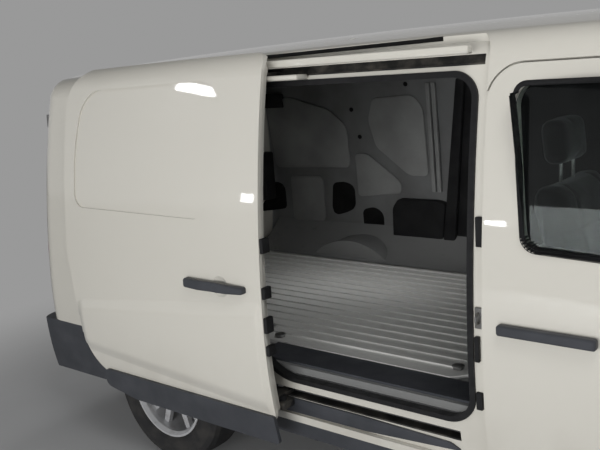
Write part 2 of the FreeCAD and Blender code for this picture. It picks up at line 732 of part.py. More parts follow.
# Sill mouldings of both sides, with the plastic step inside the entry
STEP_TOP = S.floor_height + 9
entry_step = block((ENTRY_BACK + 60, S.plate_half + 2, S.floor_height + S.seat_clear),
                   (S.entry_front_forward - 20, HALF_WIDTH - 85, STEP_TOP))
mouldings = [sill_moulding, mirrored(sill_moulding), mirrored(entry_step)]
feature("sill_mouldings", Part.Compound(mouldings))

# Rubber seal round the side opening
seal = cabin(S.rebate - 8).common(side_prism(ENTRY, LEFT, -S.seat_clear))
seal = without(seal, [cabin(S.rebate + 26), side_prism(ENTRY, LEFT, -20)])
feature("entry_seal", mirrored(seal))

# Nose: bonnet, wings, bumper, lamps, grille and the panel under the wipers
BONNET_EDGE = 842.0
NOSE_END = HALF_LENGTH + 50
BONNET_PLAN = (
    (NOSE_START, S.bonnet_half, 0),
    (S.bonnet_back_forward, S.bonnet_half, 600),
    (S.bonnet_front_forward - 60, S.bonnet_front_half, 90),
    (NOSE_END, S.bonnet_front_half - 90, 0),
)


def bonnet_zone(grow=0.0):
    """The bonnet's outline from above, drawn up from its front shut line."""
    points = list(BONNET_PLAN) + [(u, -v, radius) for u, v, radius in reversed(BONNET_PLAN)]
    wire = rounded(points, lambda point: Vector(point.x, point.y, BONNET_EDGE - grow))
    if grow:
        wire = wire.makeOffset2D(grow)
    return Part.Face(wire).extrude(Vector(0, 0, BIG))


SCUTTLE = 46.0
behind_scuttle = bowed(SCREEN_FOOT, SCREEN_UP, SCREEN_OUT, S.screen_bow, -SCUTTLE)
behind_bonnet = bowed(SCREEN_FOOT, SCREEN_UP, SCREEN_OUT, S.screen_bow, -SCUTTLE - S.shut_gap)
behind_glass = bowed(SCREEN_FOOT, SCREEN_UP, SCREEN_OUT, S.screen_bow, -S.seat_clear)
bonnet_half = without(nose(0).common(bonnet_zone()), [nose(S.bonnet_depth), behind_bonnet])
scuttle_half = nose(0).common(bonnet_zone()).common(behind_scuttle)
scuttle_half = without(scuttle_half, [nose(S.bonnet_depth), behind_glass])

BUMPER = (
    (1905, 150, 0),
    (1905, 520, 60),
    (2120, 650, 120),
    (NOSE_END, 650, 0),
    (NOSE_END, 150, 0),
)
HEADLAMP = (
    (2075, 800, 25),
    (2210, 690, 50),
    (NOSE_END, 668, 0),
    (NOSE_END, 830, 0),
    (2150, 880, 30),
)
GRILLE_HALF = 450.0
GRILLE = (
    (2300, 650 + S.seat_clear, 0),
    (2300, 834, 0),
    (NOSE_END, 834, 0),
    (NOSE_END, 650 + S.seat_clear, 0),
)
front_zone = block((S.door_front_forward, 0, 0), (NOSE_END, BIG, BIG))
lamp_part = block((0, GRILLE_HALF + S.seat_clear, 0), (NOSE_END, BIG, BIG))
grille_part = block((0, 0, 0), (NOSE_END, GRILLE_HALF, BIG))
bumper_half = without(nose(0).common(side_prism(BUMPER, LEFT)), [nose(S.bumper_depth), ARCH_FRONT])
lamp_shape = nose(0).common(side_prism(HEADLAMP, LEFT)).common(lamp_part)
lamp_shape = without(lamp_shape, [nose(S.bumper_depth), bonnet_zone(S.shut_gap), ARCH_FRONT])
grille_half = nose(12).common(side_prism(GRILLE, LEFT)).common(grille_part)
slots = [block((0, 30, 690 + 40 * row), (NOSE_END, GRILLE_HALF - 25, 712 + 40 * row)) for row in range(3)]
grille_half = without(grille_half, [nose(S.bumper_depth), bonnet_zone(S.shut_gap)] + slots)
WING_BACK = S.door_front_forward + S.shut_gap + S.seat_clear
wing = nose(0).common(block((WING_BACK, 0, SILL_FOOT), (NOSE_END, BIG, BIG)))
wing = without(wing, [
    nose(S.wing_depth),
    bonnet_zone(S.shut_gap),
    side_prism(BUMPER, LEFT, S.seat_clear),
    side_prism(HEADLAMP, LEFT, S.seat_clear).common(lamp_part),
    block((0, -1, 0), (NOSE_END, GRILLE_HALF + S.seat_clear, BIG)),
    ARCH_FRONT,
    DOOR_SWEEP,
    cabin(S.wall),
])
feature("front_wings", both(wing))
feature("front_bumper", bumper_half.fuse(mirrored(bumper_half)).removeSplitter())
feature("headlamps", both(lamp_shape))
feature("grille", grille_half.fuse(mirrored(grille_half)).removeSplitter())
arm_slot = block((S.bonnet_pin_forward + 32, 701, 0), (BIG, 719, BIG))
scuttle_half = largest(scuttle_half.cut(arm_slot))
feature("scuttle_panel", scuttle_half.fuse(mirrored(scuttle_half)).removeSplitter())

# Rear bumper: a band round the tail under the doors
REAR_PLAN = (
    (-1000, HALF_WIDTH + 20, 0),
    (-HALF_LENGTH + 20, HALF_WIDTH - 4, 120),
    (-HALF_LENGTH - 6, 0, 9000),
)


def rear_plan(inset):
    """The rear bumper's outline from above as a tall solid."""
    points = list(REAR_PLAN) + [(u, -v, radius) for u, v, radius in reversed(REAR_PLAN[:-1])]
    wire = rounded(points, lambda point: Vector(point.x, point.y, SILL_FOOT - 30))
    if inset:
        wire = wire.makeOffset2D(-inset)
    return Part.Face(wire).extrude(Vector(0, 0, BUMPER_LINE - SILL_FOOT + 30 - S.seat_clear))


def side_bar(inset):
    """The left half of the body's section drawn along its rear end."""
    profile = Part.Face(section(-HALF_LENGTH + 200, inset))
    profile.translate(Vector(-260, 0, 0))
    return profile.extrude(Vector(BIG / 2, 0, 0))


bumper_core = side_bar(S.bumper_depth).common(rear_plan(S.bumper_depth))
bumper_core = bumper_core.fuse(bumper_core.translated(Vector(0, 0, -2 * S.bumper_depth)))
bumper_ring = side_bar(0).common(rear_plan(0)).cut(bumper_core)
bumper_ring = bumper_ring.common(block((-BIG, -1, 0), (REAR_BUMPER_START - 3, BIG, BIG)))
bumper_ring = largest(bumper_ring.cut(ARCH_REAR))
feature("rear_bumper", bumper_ring.fuse(mirrored(bumper_ring)).removeSplitter())

# Bonnet with the two arms that reach back to its pins under the scuttle panel


def tube(centre, along, outer, bore, low, high):
    """A ring about a pin, from low to high along it."""
    ring = Part.makeCylinder(outer, high - low, centre + along * low, along)
    return ring.cut(Part.makeCylinder(bore, high - low + 2, centre + along * (low - 1), along))


ACROSS = Vector(0, 1, 0)
bonnet_pin = Vector(S.bonnet_pin_forward, 0, S.bonnet_pin_height)
ARM_IN, ARM_OUT = 706.0, 714.0
ARM = (
    (S.bonnet_pin_forward - 2, S.bonnet_pin_height - 10, 0),
    (S.bonnet_pin_forward - 2, S.bonnet_pin_height + 10, 0),
    (S.bonnet_pin_forward + 145, S.bonnet_pin_height + 10, 0),
    (S.bonnet_pin_forward + 160, S.bonnet_pin_height + 90, 0),
    (S.bonnet_pin_forward + 250, S.bonnet_pin_height + 90, 0),
    (S.bonnet_pin_forward + 180, S.bonnet_pin_height - 10, 0),
)
arm_band = block((0, ARM_IN, 0), (BIG, ARM_OUT, BIG))
bonnet_arm = side_prism(ARM, LEFT).common(arm_band).common(nose(S.bonnet_depth - 2))
pin_bore = Part.makeCylinder(S.hinge_pin + S.pin_clear, 60, bonnet_pin + ACROSS * 680, ACROSS)
bonnet_arm = bonnet_arm.cut(pin_bore)
bonnet_arm = bonnet_arm.fuse(tube(bonnet_pin, ACROSS, 16, S.hinge_pin + S.pin_clear, ARM_IN, ARM_OUT))
bonnet_half = largest(bonnet_half.fuse(bonnet_arm))
feature("bonnet", bonnet_half.fuse(mirrored(bonnet_half)).removeSplitter())

# Front doors with their hinge eyes; mirror and handle ride on each
UPWARD = Vector(0, 0, 1)
HINGE_POCKET = 25.0
for height in (620, 960):
    eye_foot = Vector(FRONT_PIN.x, FRONT_PIN.y, height)
    front_door = front_door.cut(Part.makeCylinder(HINGE_POCKET, 66, eye_foot - UPWARD * 33, UPWARD))
    bore = Part.makeCylinder(S.hinge_pin + S.pin_clear, 40, eye_foot - UPWARD * 20, UPWARD)
    strap = block((FRONT_PIN.x - 45, FRONT_PIN.y - 6, height - 14),
                  (FRONT_PIN.x - 8, HALF_WIDTH - S.door_depth + 6, height + 14))
    strap = strap.fuse(block((FRONT_PIN.x - 12, FRONT_PIN.y + 4, height - 14),
                             (FRONT_PIN.x + 12, HALF_WIDTH - S.door_depth + 6, height + 14)))
    strap = strap.cut(bore)
    front_door = front_door.fuse(tube(eye_foot, UPWARD, 15, S.hinge_pin + S.pin_clear, -14, 14).fuse(strap))
front_door = largest(front_door)
feature("front_door_left", front_door)
feature("front_door_right", mirrored(front_door))
feature("front_glass_left", front_pane)
feature("front_glass_right", mirrored(front_pane))

HANDLE_HEIGHT = 905.0
HANDLE_LOW, HANDLE_HIGH = 102.0, 400.0
skin_here = half_width_at(HANDLE_LOW, HANDLE_HEIGHT)
handle = block(
    (HANDLE_LOW, skin_here - 1, HANDLE_HEIGHT - 17), (HANDLE_HIGH, skin_here + 30, HANDLE_HEIGHT + 17)
)
handle = handle.makeFillet(9, handle.Edges).cut(cabin(0))
MIRROR_BACK = FRONT_PIN.x - 170
mirror_head = block((MIRROR_BACK, 945, 1090), (MIRROR_BACK + 90, HALF_WIDTH + 149, 1290))
mirror_head = mirror_head.makeFillet(28, mirror_head.Edges)
mirror_stalk = block((MIRROR_BACK + 20, 880, 1100), (MIRROR_BACK + 75, 960, 1150))
mirror = largest(mirror_head.fuse(mirror_stalk).cut(cabin(0)))
front_trim = Part.Compound([largest(handle), mirror])
feature("front_trim_left", front_trim)
feature("front_trim_right", mirrored(front_trim))

# Rear doors with external hinges; the pins lean with the rear face


def tail_point(across, height, proud):
    """A point on the rear face, or proud of it."""
    bow = across ** 2 / (2 * S.tail_bow)
    along = (height - S.tail_height) / math.cos(TAIL_ANGLE)
    return TAIL_POINT + TAIL_UP * along + Vector(0, across, 0) - TAIL_OUT * bow + TAIL_OUT * proud


def tail_box(height, low, high):
    """A box on the rear face: across, up the face and out from it, between two corners."""
    base = tail_point(REAR_PIN_ACROSS, height, 0)
    frame = Rotation(Vector(0, 1, 0), S.tail_lean)
    box = Part.makeBox(high[0] - low[0], high[1] - low[1], high[2] - low[2],
                       Vector(-high[0], low[1] - REAR_PIN_ACROSS, low[2]))
    box.Placement = Placement(base, frame).multiply(box.Placement)
    return box


REAR_PIN_ACROSS = S.rear_door_half + S.rear_pin_out
REAR_HINGES = (740.0, 1120.0, 1560.0)
body_leaves = []
door_leaves = []
for height in REAR_HINGES:
    pin = tail_point(REAR_PIN_ACROSS, height, S.rear_pin_proud)
    door_leaf = tail_box(height, (-14, S.rear_door_half - 60, -11), (16, S.rear_door_half - 8, 11))
    door_leaf = door_leaf.fuse(tail_box(height, (6, S.rear_door_half - 12, -11), (16, REAR_PIN_ACROSS, 11)))
    bore = Part.makeCylinder(S.hinge_pin + S.pin_clear, 80, pin - TAIL_UP * 40, TAIL_UP)
    ring = tube(pin, TAIL_UP, 14, S.hinge_pin + S.pin_clear, -11, 11)
    door_leaves.append(door_leaf.cut(bore).fuse(ring))
    leaf = Part.makeCylinder(S.hinge_pin, 60, pin - TAIL_UP * 30, TAIL_UP)
    for low, high in ((-30, -12), (12, 30)):
        leaf = leaf.fuse(Part.makeCylinder(14, high - low, pin + TAIL_UP * low, TAIL_UP))
        leaf = leaf.fuse(tail_box(height, (-14, REAR_PIN_ACROSS + 6, low), (28, REAR_PIN_ACROSS + 24, high)))
    leaf = leaf.fuse(tail_box(height, (-14, REAR_PIN_ACROSS + 12, -30), (12, REAR_PIN_ACROSS + 62, 30)))
    body_leaves.append(largest(leaf.cut(cabin(0))))
for name, side in SIDES:
    shape = rear_door_shapes[name]
    for leaf in door_leaves:
        shape = shape.fuse(leaf)
    shape = largest(shape)
    feature("rear_door_" + name, shape if side == LEFT else mirrored(shape))
feature("rear_hinges", Part.Compound(body_leaves + [mirrored(leaf) for leaf in body_leaves]))

# Sliding door gear: centre rail on the outside, upper and lower rails, and the three arms
OPEN_EDGE = S.slide_front_forward - S.slide_travel


def rail_part(corners, outer, inner, drop=0.0):
    """A strip of a rail: what lies in its groove between two depths under the skin."""
    low, high = (Vector(*corner) for corner in corners)
    if drop:
        high.z = low.z + drop
    gap = Vector(S.seat_clear, 0, 0 if drop else S.seat_clear)
    low += gap
    high -= gap
    low.z = corners[0][2] + S.seat_clear
    return largest(cabin(outer).common(block(low, high)).cut(cabin(inner)))


centre_slot = block((-BIG, 0, 996), (BIG, BIG, 1014)).cut(cabin(S.skin))
centre_rail = largest(rail_part(CENTRE_RAIL, 4, S.rebate).cut(centre_slot))
top_rail = rail_part(TOP_RAIL, RAIL_BACK - 6, RAIL_BACK)
top_rail = top_rail.fuse(rail_part(TOP_RAIL, S.rebate, RAIL_BACK, 6))
low_rail = cabin(S.rebate).common(block((LOW_RAIL[0][0] + 1, 838, LOW_RAIL[0][2] + S.seat_clear),
                                        (LOW_RAIL[1][0] - 1, BIG, LOW_RAIL[0][2] + 6)))
# Each arm: low and high corner of its bar; it ends at the inner face of the open door
door_now = slide_panel.translated(Vector(-S.slide_travel, S.slide_out, 0))
ARMS = (
    ((SLIDE_BACK - S.slide_travel + 60, 905, 996 + S.seat_clear),
     (SLIDE_BACK - S.slide_travel + 110, 1000, 1008)),
    ((OPEN_EDGE - 80, 790, TOP_RAIL[0][2] + 6 + S.seat_clear), (OPEN_EDGE - 35, 930, 1716)),
    ((OPEN_EDGE - 80, 842, LOW_RAIL[0][2] + 6 + S.seat_clear), (OPEN_EDGE - 35, 985, 490)),
)
arms = [largest(block(low, high).cut(door_now)) for low, high in ARMS]
feature("door_gear", mirrored(Part.Compound([centre_rail, largest(top_rail), low_rail] + arms)))

# Floor: load floor pan with its wheelhouses, and the cab floor ahead of it, let in between the sides
inside = cabin(S.wall + S.seat_clear)
WHEELHOUSE_WALL = S.arch_inner_half + S.arch_wall
TAIL_INNER = -HALF_LENGTH + 135
load_pan = block((TAIL_INNER, 0, S.floor_height - S.floor_depth), (S.pillar_forward, BIG, S.floor_height))
cab_pan = block((S.pillar_forward - S.floor_depth, 0, S.cab_floor_height - S.floor_depth),
                (S.door_front_forward + 45, BIG, S.cab_floor_height))
riser = block((S.pillar_forward - S.floor_depth, 0, S.cab_floor_height - S.floor_depth),
              (S.pillar_forward, BIG, S.floor_height))
arch_line = Vector(REAR_AXLE, WHEELHOUSE_WALL, S.tyre_radius)
arch_space = Part.makeCylinder(S.arch_radius, BIG, arch_line, Vector(0, 1, 0))
arch_line.y = S.arch_inner_half
arch_sheet = Part.makeCylinder(S.arch_radius + S.arch_wall, BIG, arch_line, Vector(0, 1, 0))
arch_sheet = arch_sheet.common(block((-BIG, 0, S.floor_height - S.floor_depth), (BIG, BIG, BIG)))
pan = load_pan.fuse([cab_pan, riser, arch_sheet]).common(inside)
pan = without(pan, [arch_space, DOOR_SWEEP])
threshold = cabin(S.rebate).common(block((-HALF_LENGTH, 0, BUMPER_LINE), (TAIL_INNER + 20, S.rear_door_half - 12, 582)))
threshold = threshold.cut(tail_prism(*REAR_DOORS, -S.frame_step))
pan = largest(pan.fuse(largest(threshold)))
feature("floor_pan", pan.fuse(mirrored(pan)).removeSplitter())

# Ribbed load floor plate
PLATE_TOP = "sizes.floor_height + sizes.seat_clear"
RIB_COUNT = 17
RIB_PITCH = 76.0
RIB_WIDTH = 22.0
RIB_HEIGHT = 7.0
plate = doc.addObject("PartDesign::Body", "load_plate")
plate_sketch = sketch_polygon(plate, "plate_outline", "XY_Plane", (
    ("-sizes.body_length / 2 + 175", "-sizes.plate_half"),
    ("-sizes.plate_front_gap - 120", "-sizes.plate_half"),
    ("-sizes.plate_front_gap", "-sizes.plate_half + 120"),
    ("-sizes.plate_front_gap", "sizes.plate_half"),
    ("-sizes.body_length / 2 + 175", "sizes.plate_half"),
))
pad(plate, plate_sketch, "sizes.plate_depth")
for word, rule in (("z", PLATE_TOP),):
    plate.setExpression("Placement.Base." + word, rule)
notches = []
for name, side in SIDES:
    low = "sizes.arch_inner_half - 4" if side == LEFT else "-sizes.arch_inner_half + 4 - 400"
    notches.append(primitive(
        "Part::Box", "plate_notch_" + name,
        (REAR_AXLE_X + " - sizes.arch_radius - 10", low, "sizes.floor_height - 5"),
        Length="2 * sizes.arch_radius + 20", Width="400", Height="100"))
ribs = []
for index in range(RIB_COUNT):
    across = (index - (RIB_COUNT - 1) / 2) * RIB_PITCH - RIB_WIDTH / 2
    ribs.append(primitive(
        "Part::Box", "plate_rib_%d" % index,
        ("-sizes.body_length / 2 + 200", str(across), PLATE_TOP),
        Length="sizes.body_length / 2 - 200 - sizes.plate_front_gap - 130",
        Width=str(RIB_WIDTH), Height="sizes.plate_depth + %s" % RIB_HEIGHT))
load_floor = joined("Part::MultiFuse", "ribbed_plate", [plate] + ribs)
for notch in notches:
    load_floor = minus("plate_less_" + notch.Name, load_floor, notch)
keep(load_floor, "load_floor")

# Underframe: two long members, their cross members, subframe, arms and the bumper beam
RAIL = (
    ("-sizes.body_length / 2 + 125", "470"),
    ("-200", "470"),
    ("0", "300"),
    ("1230", "300"),
    ("1370", "430"),
    ("sizes.body_length / 2 - 155", "430"),
    ("sizes.body_length / 2 - 155", "530"),
    ("1330", "530"),
    ("1205", "sizes.cab_floor_height - sizes.floor_depth"),
    ("0", "sizes.cab_floor_height - sizes.floor_depth"),
    ("-60", "sizes.floor_height - sizes.floor_depth"),
    ("-sizes.body_length / 2 + 125", "sizes.floor_height - sizes.floor_depth"),
)
frame_parts = []
for name, side in SIDES:
    rail = doc.addObject("PartDesign::Body", "rail_" + name)
    pad(rail, sketch_polygon(rail, "rail_outline_" + name, "XZ_Plane", RAIL), "sizes.rail_width", both=True)
    rail.setExpression("Placement.Base.y", "%d * sizes.rail_half" % side)
    frame_parts.append(rail)
CROSS_MEMBERS = (
    # X of the rear face, foot, depth along X, height
    (-2290, 470, 60, 85),
    (-1100, 480, 60, 75),
    (-420, 480, 60, 75),
    (420, 305, 60, 60),
)
for index, (rear, foot, deep, tall) in enumerate(CROSS_MEMBERS):
    frame_parts.append(primitive(
        "Part::Box", "cross_member_%d" % index, (str(rear), "-sizes.rail_half", str(foot)),
        Length=str(deep), Width="2 * sizes.rail_half", Height=str(tall)))
KING = "(sizes.track / 2 - sizes.king_inboard)"
LOWER_ARM = "(sizes.tyre_radius - sizes.joint_reach - sizes.arm_gap - sizes.arm_depth)"
UPPER_ARM = "(sizes.tyre_radius + sizes.joint_reach + sizes.arm_gap)"
frame_parts.append(primitive(
    "Part::Box", "subframe", (FRONT_AXLE_X + " - 170", "-sizes.rail_half", LOWER_ARM),
    Length="340", Width="2 * sizes.rail_half", Height="60"))
for name, side in SIDES:
    reach = "%s - sizes.rail_half + 30" % KING
    start = "sizes.rail_half - 10" if side == LEFT else "-(%s + 20)" % KING
    for word, foot in (("lower", LOWER_ARM), ("upper", UPPER_ARM)):
        frame_parts.append(primitive(
            "Part::Box", "%s_arm_%s" % (word, name), (FRONT_AXLE_X + " - 20", start, foot),
            Length="40", Width=reach, Height="sizes.arm_depth"))
    place = (FRONT_AXLE_X, "%d * %s" % (side, KING))
    frame_parts.append(primitive(
        "Part::Cylinder", "lower_pin_" + name, place + (LOWER_ARM,),
        Radius="sizes.king_pin", Height="sizes.arm_depth + sizes.arm_gap + 40"))
    frame_parts.append(primitive(
        "Part::Cylinder", "upper_pin_" + name, place + (UPPER_ARM + " - sizes.arm_gap - 40",),
        Radius="sizes.king_pin", Height="sizes.arm_depth + sizes.arm_gap + 40"))
    frame_parts.append(primitive(
        "Part::Box", "subframe_leg_" + name,
        (FRONT_AXLE_X + " - 150", "%d * sizes.rail_half - sizes.rail_width / 2" % side, LOWER_ARM),
        Length="60", Width="sizes.rail_width", Height="440 - %s" % LOWER_ARM))
beam = nose(S.bumper_depth + S.seat_clear).common(
    block((HALF_LENGTH - 160, 0, 430), (NOSE_END, 560, 530)))
beam_item = doc.addObject("Part::Feature", "bumper_beam")
beam_item.Shape = beam.fuse(mirrored(beam)).removeSplitter()
frame_parts.append(beam_item)
keep(joined("Part::MultiFuse", "underframe_all", frame_parts), "underframe")

# Rear axle: beam, trailing arms, drums and the spigots that carry the wheels
HUB_IN = "(sizes.track / 2 - sizes.drum_back)"
axle_parts = [turned(primitive(
    "Part::Cylinder", "axle_beam", (REAR_AXLE_X, HUB_IN, "sizes.tyre_radius"),
    Radius="42", Height="2 * %s" % HUB_IN), (1, 0, 0), 90)]
for name, side in SIDES:
    reach = "sizes.track / 2 + 52"
    spigot = primitive("Part::Cylinder", "rear_spigot_" + name,
                       (REAR_AXLE_X, "0" if side == RIGHT else reach, "sizes.tyre_radius"),
                       Radius="sizes.hub_bore - sizes.spigot_clear", Height=reach)
    drum = primitive("Part::Cylinder", "drum_" + name,
                     (REAR_AXLE_X, "-" + HUB_IN if side == RIGHT else HUB_IN + " + 62", "sizes.tyre_radius"),
                     Radius="sizes.drum_radius", Height="62")
    arm = primitive("Part::Box", "trailing_arm_" + name,
                    (REAR_AXLE_X + " - 30", "%d * (%s - 30) - 35" % (side, "sizes.track / 2 - 130"),
                     "sizes.tyre_radius - 30"), Length="460", Width="70", Height="60")
    post = primitive("Part::Box", "arm_post_" + name,
                     (REAR_AXLE_X + " + 380", "%d * (%s - 30) - 35" % (side, "sizes.track / 2 - 130"),
                      "sizes.tyre_radius - 30"),
                     Length="50", Width="70",
                     Height="sizes.floor_height - sizes.floor_depth - sizes.tyre_radius + 30 - sizes.seat_clear")
    axle_parts += [turned(spigot, (1, 0, 0), 90), turned(drum, (1, 0, 0), 90), arm, post]
keep(joined("Part::MultiFuse", "rear_axle_all", axle_parts), "rear_axle")

# Wheels
TYRE_HALF = (
    # across the wheel from its middle, radius
    ("sizes.rim_width / 2 - 7", "sizes.rim_radius - 11.6"),
    ("sizes.rim_width / 2 - 7", "sizes.rim_radius + 2"),
    ("sizes.tyre_width / 2 - 6", "sizes.rim_radius + 20"),
    ("sizes.tyre_width / 2", "(sizes.rim_radius + sizes.tyre_radius) / 2 - 6"),
    ("sizes.tyre_width / 2 - 5", "sizes.tyre_radius - 30"),
    ("sizes.tyre_width / 2 - 18", "sizes.tyre_radius - 8"),
    ("sizes.tyre_width / 2 - sizes.tyre_shoulder - 8", "sizes.tyre_radius"),
)
RIM_PROFILE = (
    ("sizes.rim_width / 2", "sizes.rim_radius"),
    ("sizes.rim_width / 2 - 6", "sizes.rim_radius"),
    ("sizes.rim_width / 2 - 7", "sizes.rim_radius - 12"),
    ("-sizes.rim_width / 2 + 7", "sizes.rim_radius - 12"),
    ("-sizes.rim_width / 2 + 6", "sizes.rim_radius"),
    ("-sizes.rim_width / 2", "sizes.rim_radius"),
    ("-sizes.rim_width / 2", "sizes.rim_radius - 12"),
    ("-sizes.rim_width / 2 + 12", "sizes.rim_radius - 12 - sizes.rim_wall"),
    ("sizes.rim_width / 2 - 16", "sizes.rim_radius - 12 - sizes.rim_wall"),
    ("sizes.rim_width / 2", "sizes.rim_radius - sizes.rim_wall"),
)
DISC_PROFILE = (
    ("sizes.disc_back", "sizes.hub_bore"),
    ("sizes.disc_back + 34", "sizes.hub_bore"),
    ("sizes.disc_back + 34", "sizes.hub_radius - 10"),
    ("sizes.disc_back + 26", "sizes.hub_radius"),
    ("sizes.disc_back", "sizes.hub_radius"),
)
SPOKE_PAIR = (
    ("-24", "sizes.hub_radius - 10"),
    ("-60", "sizes.rim_radius - 24"),
    ("-34", "sizes.rim_radius - 16"),
    ("0", "sizes.hub_radius + 26"),
    ("34", "sizes.rim_radius - 16"),
    ("60", "sizes.rim_radius - 24"),
    ("24", "sizes.hub_radius - 10"),
)


def spun(body, sketch):
    """A turned feature about the wheel's own axis."""
    item = body.newObject("PartDesign::Revolution", sketch.Name + "_turned")
    item.Profile = sketch
    item.ReferenceAxis = (sketch, ["H_Axis"])
    item.Angle = 360
    doc.recompute()
    return item


def placed_wheel(body, axle, side):
    """Put a wheel piece at the end of its axle, outer face outwards."""
    body.setExpression("Placement.Base.x", axle)
    body.setExpression("Placement.Base.y", "%d * sizes.track / 2" % side)
    body.setExpression("Placement.Base.z", "sizes.tyre_radius")
    if side == RIGHT:
        turned(body, (0, 0, 1), 180)


WHEELS = (
    ("front_left", FRONT_AXLE_X, LEFT),
    ("front_right", FRONT_AXLE_X, RIGHT),
    ("rear_left", REAR_AXLE_X, LEFT),
    ("rear_right", REAR_AXLE_X, RIGHT),
)
for name, axle, side in WHEELS:
    tyre = doc.addObject("PartDesign::Body", "tyre_body_" + name)
    far_half = [("-(%s)" % across, radius) for across, radius in reversed(TYRE_HALF)]
    spun(tyre, sketch_polygon(tyre, "tyre_profile_" + name, "YZ_Plane", list(TYRE_HALF) + far_half))
    placed_wheel(tyre, axle, side)
    keep(tyre, "tyre_" + name)
    rim = doc.addObject("PartDesign::Body", "rim_body_" + name)
    spun(rim, sketch_polygon(rim, "rim_profile_" + name, "YZ_Plane", RIM_PROFILE))
    spun(rim, sketch_polygon(rim, "disc_profile_" + name, "YZ_Plane", DISC_PROFILE))
    spoke_sketch = sketch_polygon(rim, "spoke_outline_" + name, "XZ_Plane", SPOKE_PAIR)
    spoke_sketch.setExpression("AttachmentOffset.Base.z", "-(sizes.disc_back + 4)")
    spokes = pad(rim, spoke_sketch, "22", back=True)
    ring = rim.newObject("PartDesign::PolarPattern", "spoke_ring_" + name)
    ring.Originals = [spokes]
    ring.Axis = (spoke_sketch, ["N_Axis"])
    ring.Angle = 360
    ring.Occurrences = 5
    rim.Tip = ring
    placed_wheel(rim, axle, side)
    keep(rim, "rim_" + name)

# Front knuckles: upright, brake disc and spigot
for name, side in SIDES:
    centre = "%d * sizes.track / 2" % side
    king = "%d * %s" % (side, KING)
    upright = primitive(
        "Part::Box", "upright_" + name,
        (FRONT_AXLE_X + " - 32", king + " - 18", "sizes.tyre_radius - sizes.joint_reach"),
        Length="64", Width="36", Height="2 * sizes.joint_reach")
    out = centre + " + 52" if side == LEFT else king
    spigot = turned(primitive(
        "Part::Cylinder", "front_spigot_" + name, (FRONT_AXLE_X, out, "sizes.tyre_radius"),
        Radius="sizes.hub_bore - sizes.spigot_clear", Height="sizes.king_inboard + 52"), (1, 0, 0), 90)
    disc = turned(primitive(
        "Part::Cylinder", "brake_disc_" + name,
        (FRONT_AXLE_X, centre + (" - 8" if side == LEFT else " + 30"), "sizes.tyre_radius"),
        Radius="sizes.brake_radius", Height="22"), (1, 0, 0), 90)
    bore = primitive(
        "Part::Cylinder", "king_bore_" + name,
        (FRONT_AXLE_X, king, "sizes.tyre_radius - sizes.joint_reach - 5"),
        Radius="sizes.king_pin + sizes.pin_clear", Height="50")
    top_bore = primitive(
        "Part::Cylinder", "king_top_bore_" + name,
        (FRONT_AXLE_X, king, "sizes.tyre_radius + sizes.joint_reach - 45"),
        Radius="sizes.king_pin + sizes.pin_clear", Height="50")
    solid = joined("Part::MultiFuse", "knuckle_solid_" + name, [upright, spigot, disc])
    bored = minus("knuckle_bored_" + name, solid, bore)
    keep(minus("knuckle_done_" + name, bored, top_bore), "knuckle_" + name)

# Engine and gearbox as one plain block
keep(primitive("Part::Box", "engine_block", ("1340", "-330", LOWER_ARM + " + 60 + sizes.seat_clear"),
               Length="560", Width="660", Height="660"), "engine")

# Firewall with its cowl shelf, the hinge posts of the front doors and their brackets
firewall = doc.addObject("PartDesign::Body", "firewall_body")
WALL_BACK = "(sizes.door_front_forward + 45)"
pad(firewall, sketch_polygon(firewall, "firewall_outline", "XZ_Plane", (
    (WALL_BACK, "sizes.cab_floor_height + sizes.seat_clear - sizes.floor_depth"),
    (WALL_BACK + " + 30", "sizes.cab_floor_height + sizes.seat_clear - sizes.floor_depth"),
    (WALL_BACK + " + 30", "1010"),
    (WALL_BACK + " + 210", "1010"),
    (WALL_BACK + " + 210", "1040"),
    (WALL_BACK, "1050"),
)), "1300", both=True)
wall_parts = [firewall]
PIN_X = "(sizes.door_front_forward - sizes.front_pin_back)"
PIN_Y = "(sizes.body_width / 2 - sizes.front_pin_inboard)"
HINGE_HEIGHTS = (620, 960)
for name, side in SIDES:
    low = "650" if side == LEFT else "-770"
    wall_parts.append(primitive(
        "Part::Box", "wall_edge_" + name, (WALL_BACK, low, "sizes.cab_floor_height"),
        Length="30", Width="120", Height="620"))
    low = "700" if side == LEFT else "-775"
    wall_parts.append(primitive(
        "Part::Box", "hinge_post_" + name, (PIN_X + " + 5", low, "sizes.cab_floor_height + sizes.seat_clear"),
        Length="85", Width="75", Height="640"))
    for height in HINGE_HEIGHTS:
        low = "760" if side == LEFT else "-%s" % PIN_Y
        for foot in (height - 26, height + 15):
            wall_parts.append(primitive(
                "Part::Box", "hinge_leaf_%s_%d" % (name, foot), (PIN_X + " - 12", low, str(foot)),
                Length="24", Width=PIN_Y + " - 760", Height="11"))
            wall_parts.append(primitive(
                "Part::Cylinder", "hinge_eye_%s_%d" % (name, foot),
                (PIN_X, "%d * %s" % (side, PIN_Y), str(foot)), Radius="15", Height="11"))
        wall_parts.append(primitive(
            "Part::Cylinder", "hinge_pin_%s_%d" % (name, height),
            (PIN_X, "%d * %s" % (side, PIN_Y), str(height - 26)),
            Radius="sizes.hinge_pin", Height="52"))
    low = "722" if side == LEFT else "-745"
    wall_parts.append(primitive(
        "Part::Box", "bonnet_bracket_" + name, (WALL_BACK + " + 20", low, "sizes.bonnet_pin_height - 30"),
        Length="sizes.bonnet_pin_forward - %s" % WALL_BACK, Width="23", Height="50"))
    start = "-698" if side == RIGHT else "745"
    wall_parts.append(turned(primitive(
        "Part::Cylinder", "bonnet_pin_" + name, ("sizes.bonnet_pin_forward", start, "sizes.bonnet_pin_height"),
        Radius="sizes.hinge_pin", Height="47"), (1, 0, 0), 90))
keep(joined("Part::MultiFuse", "firewall_all", wall_parts), "firewall")

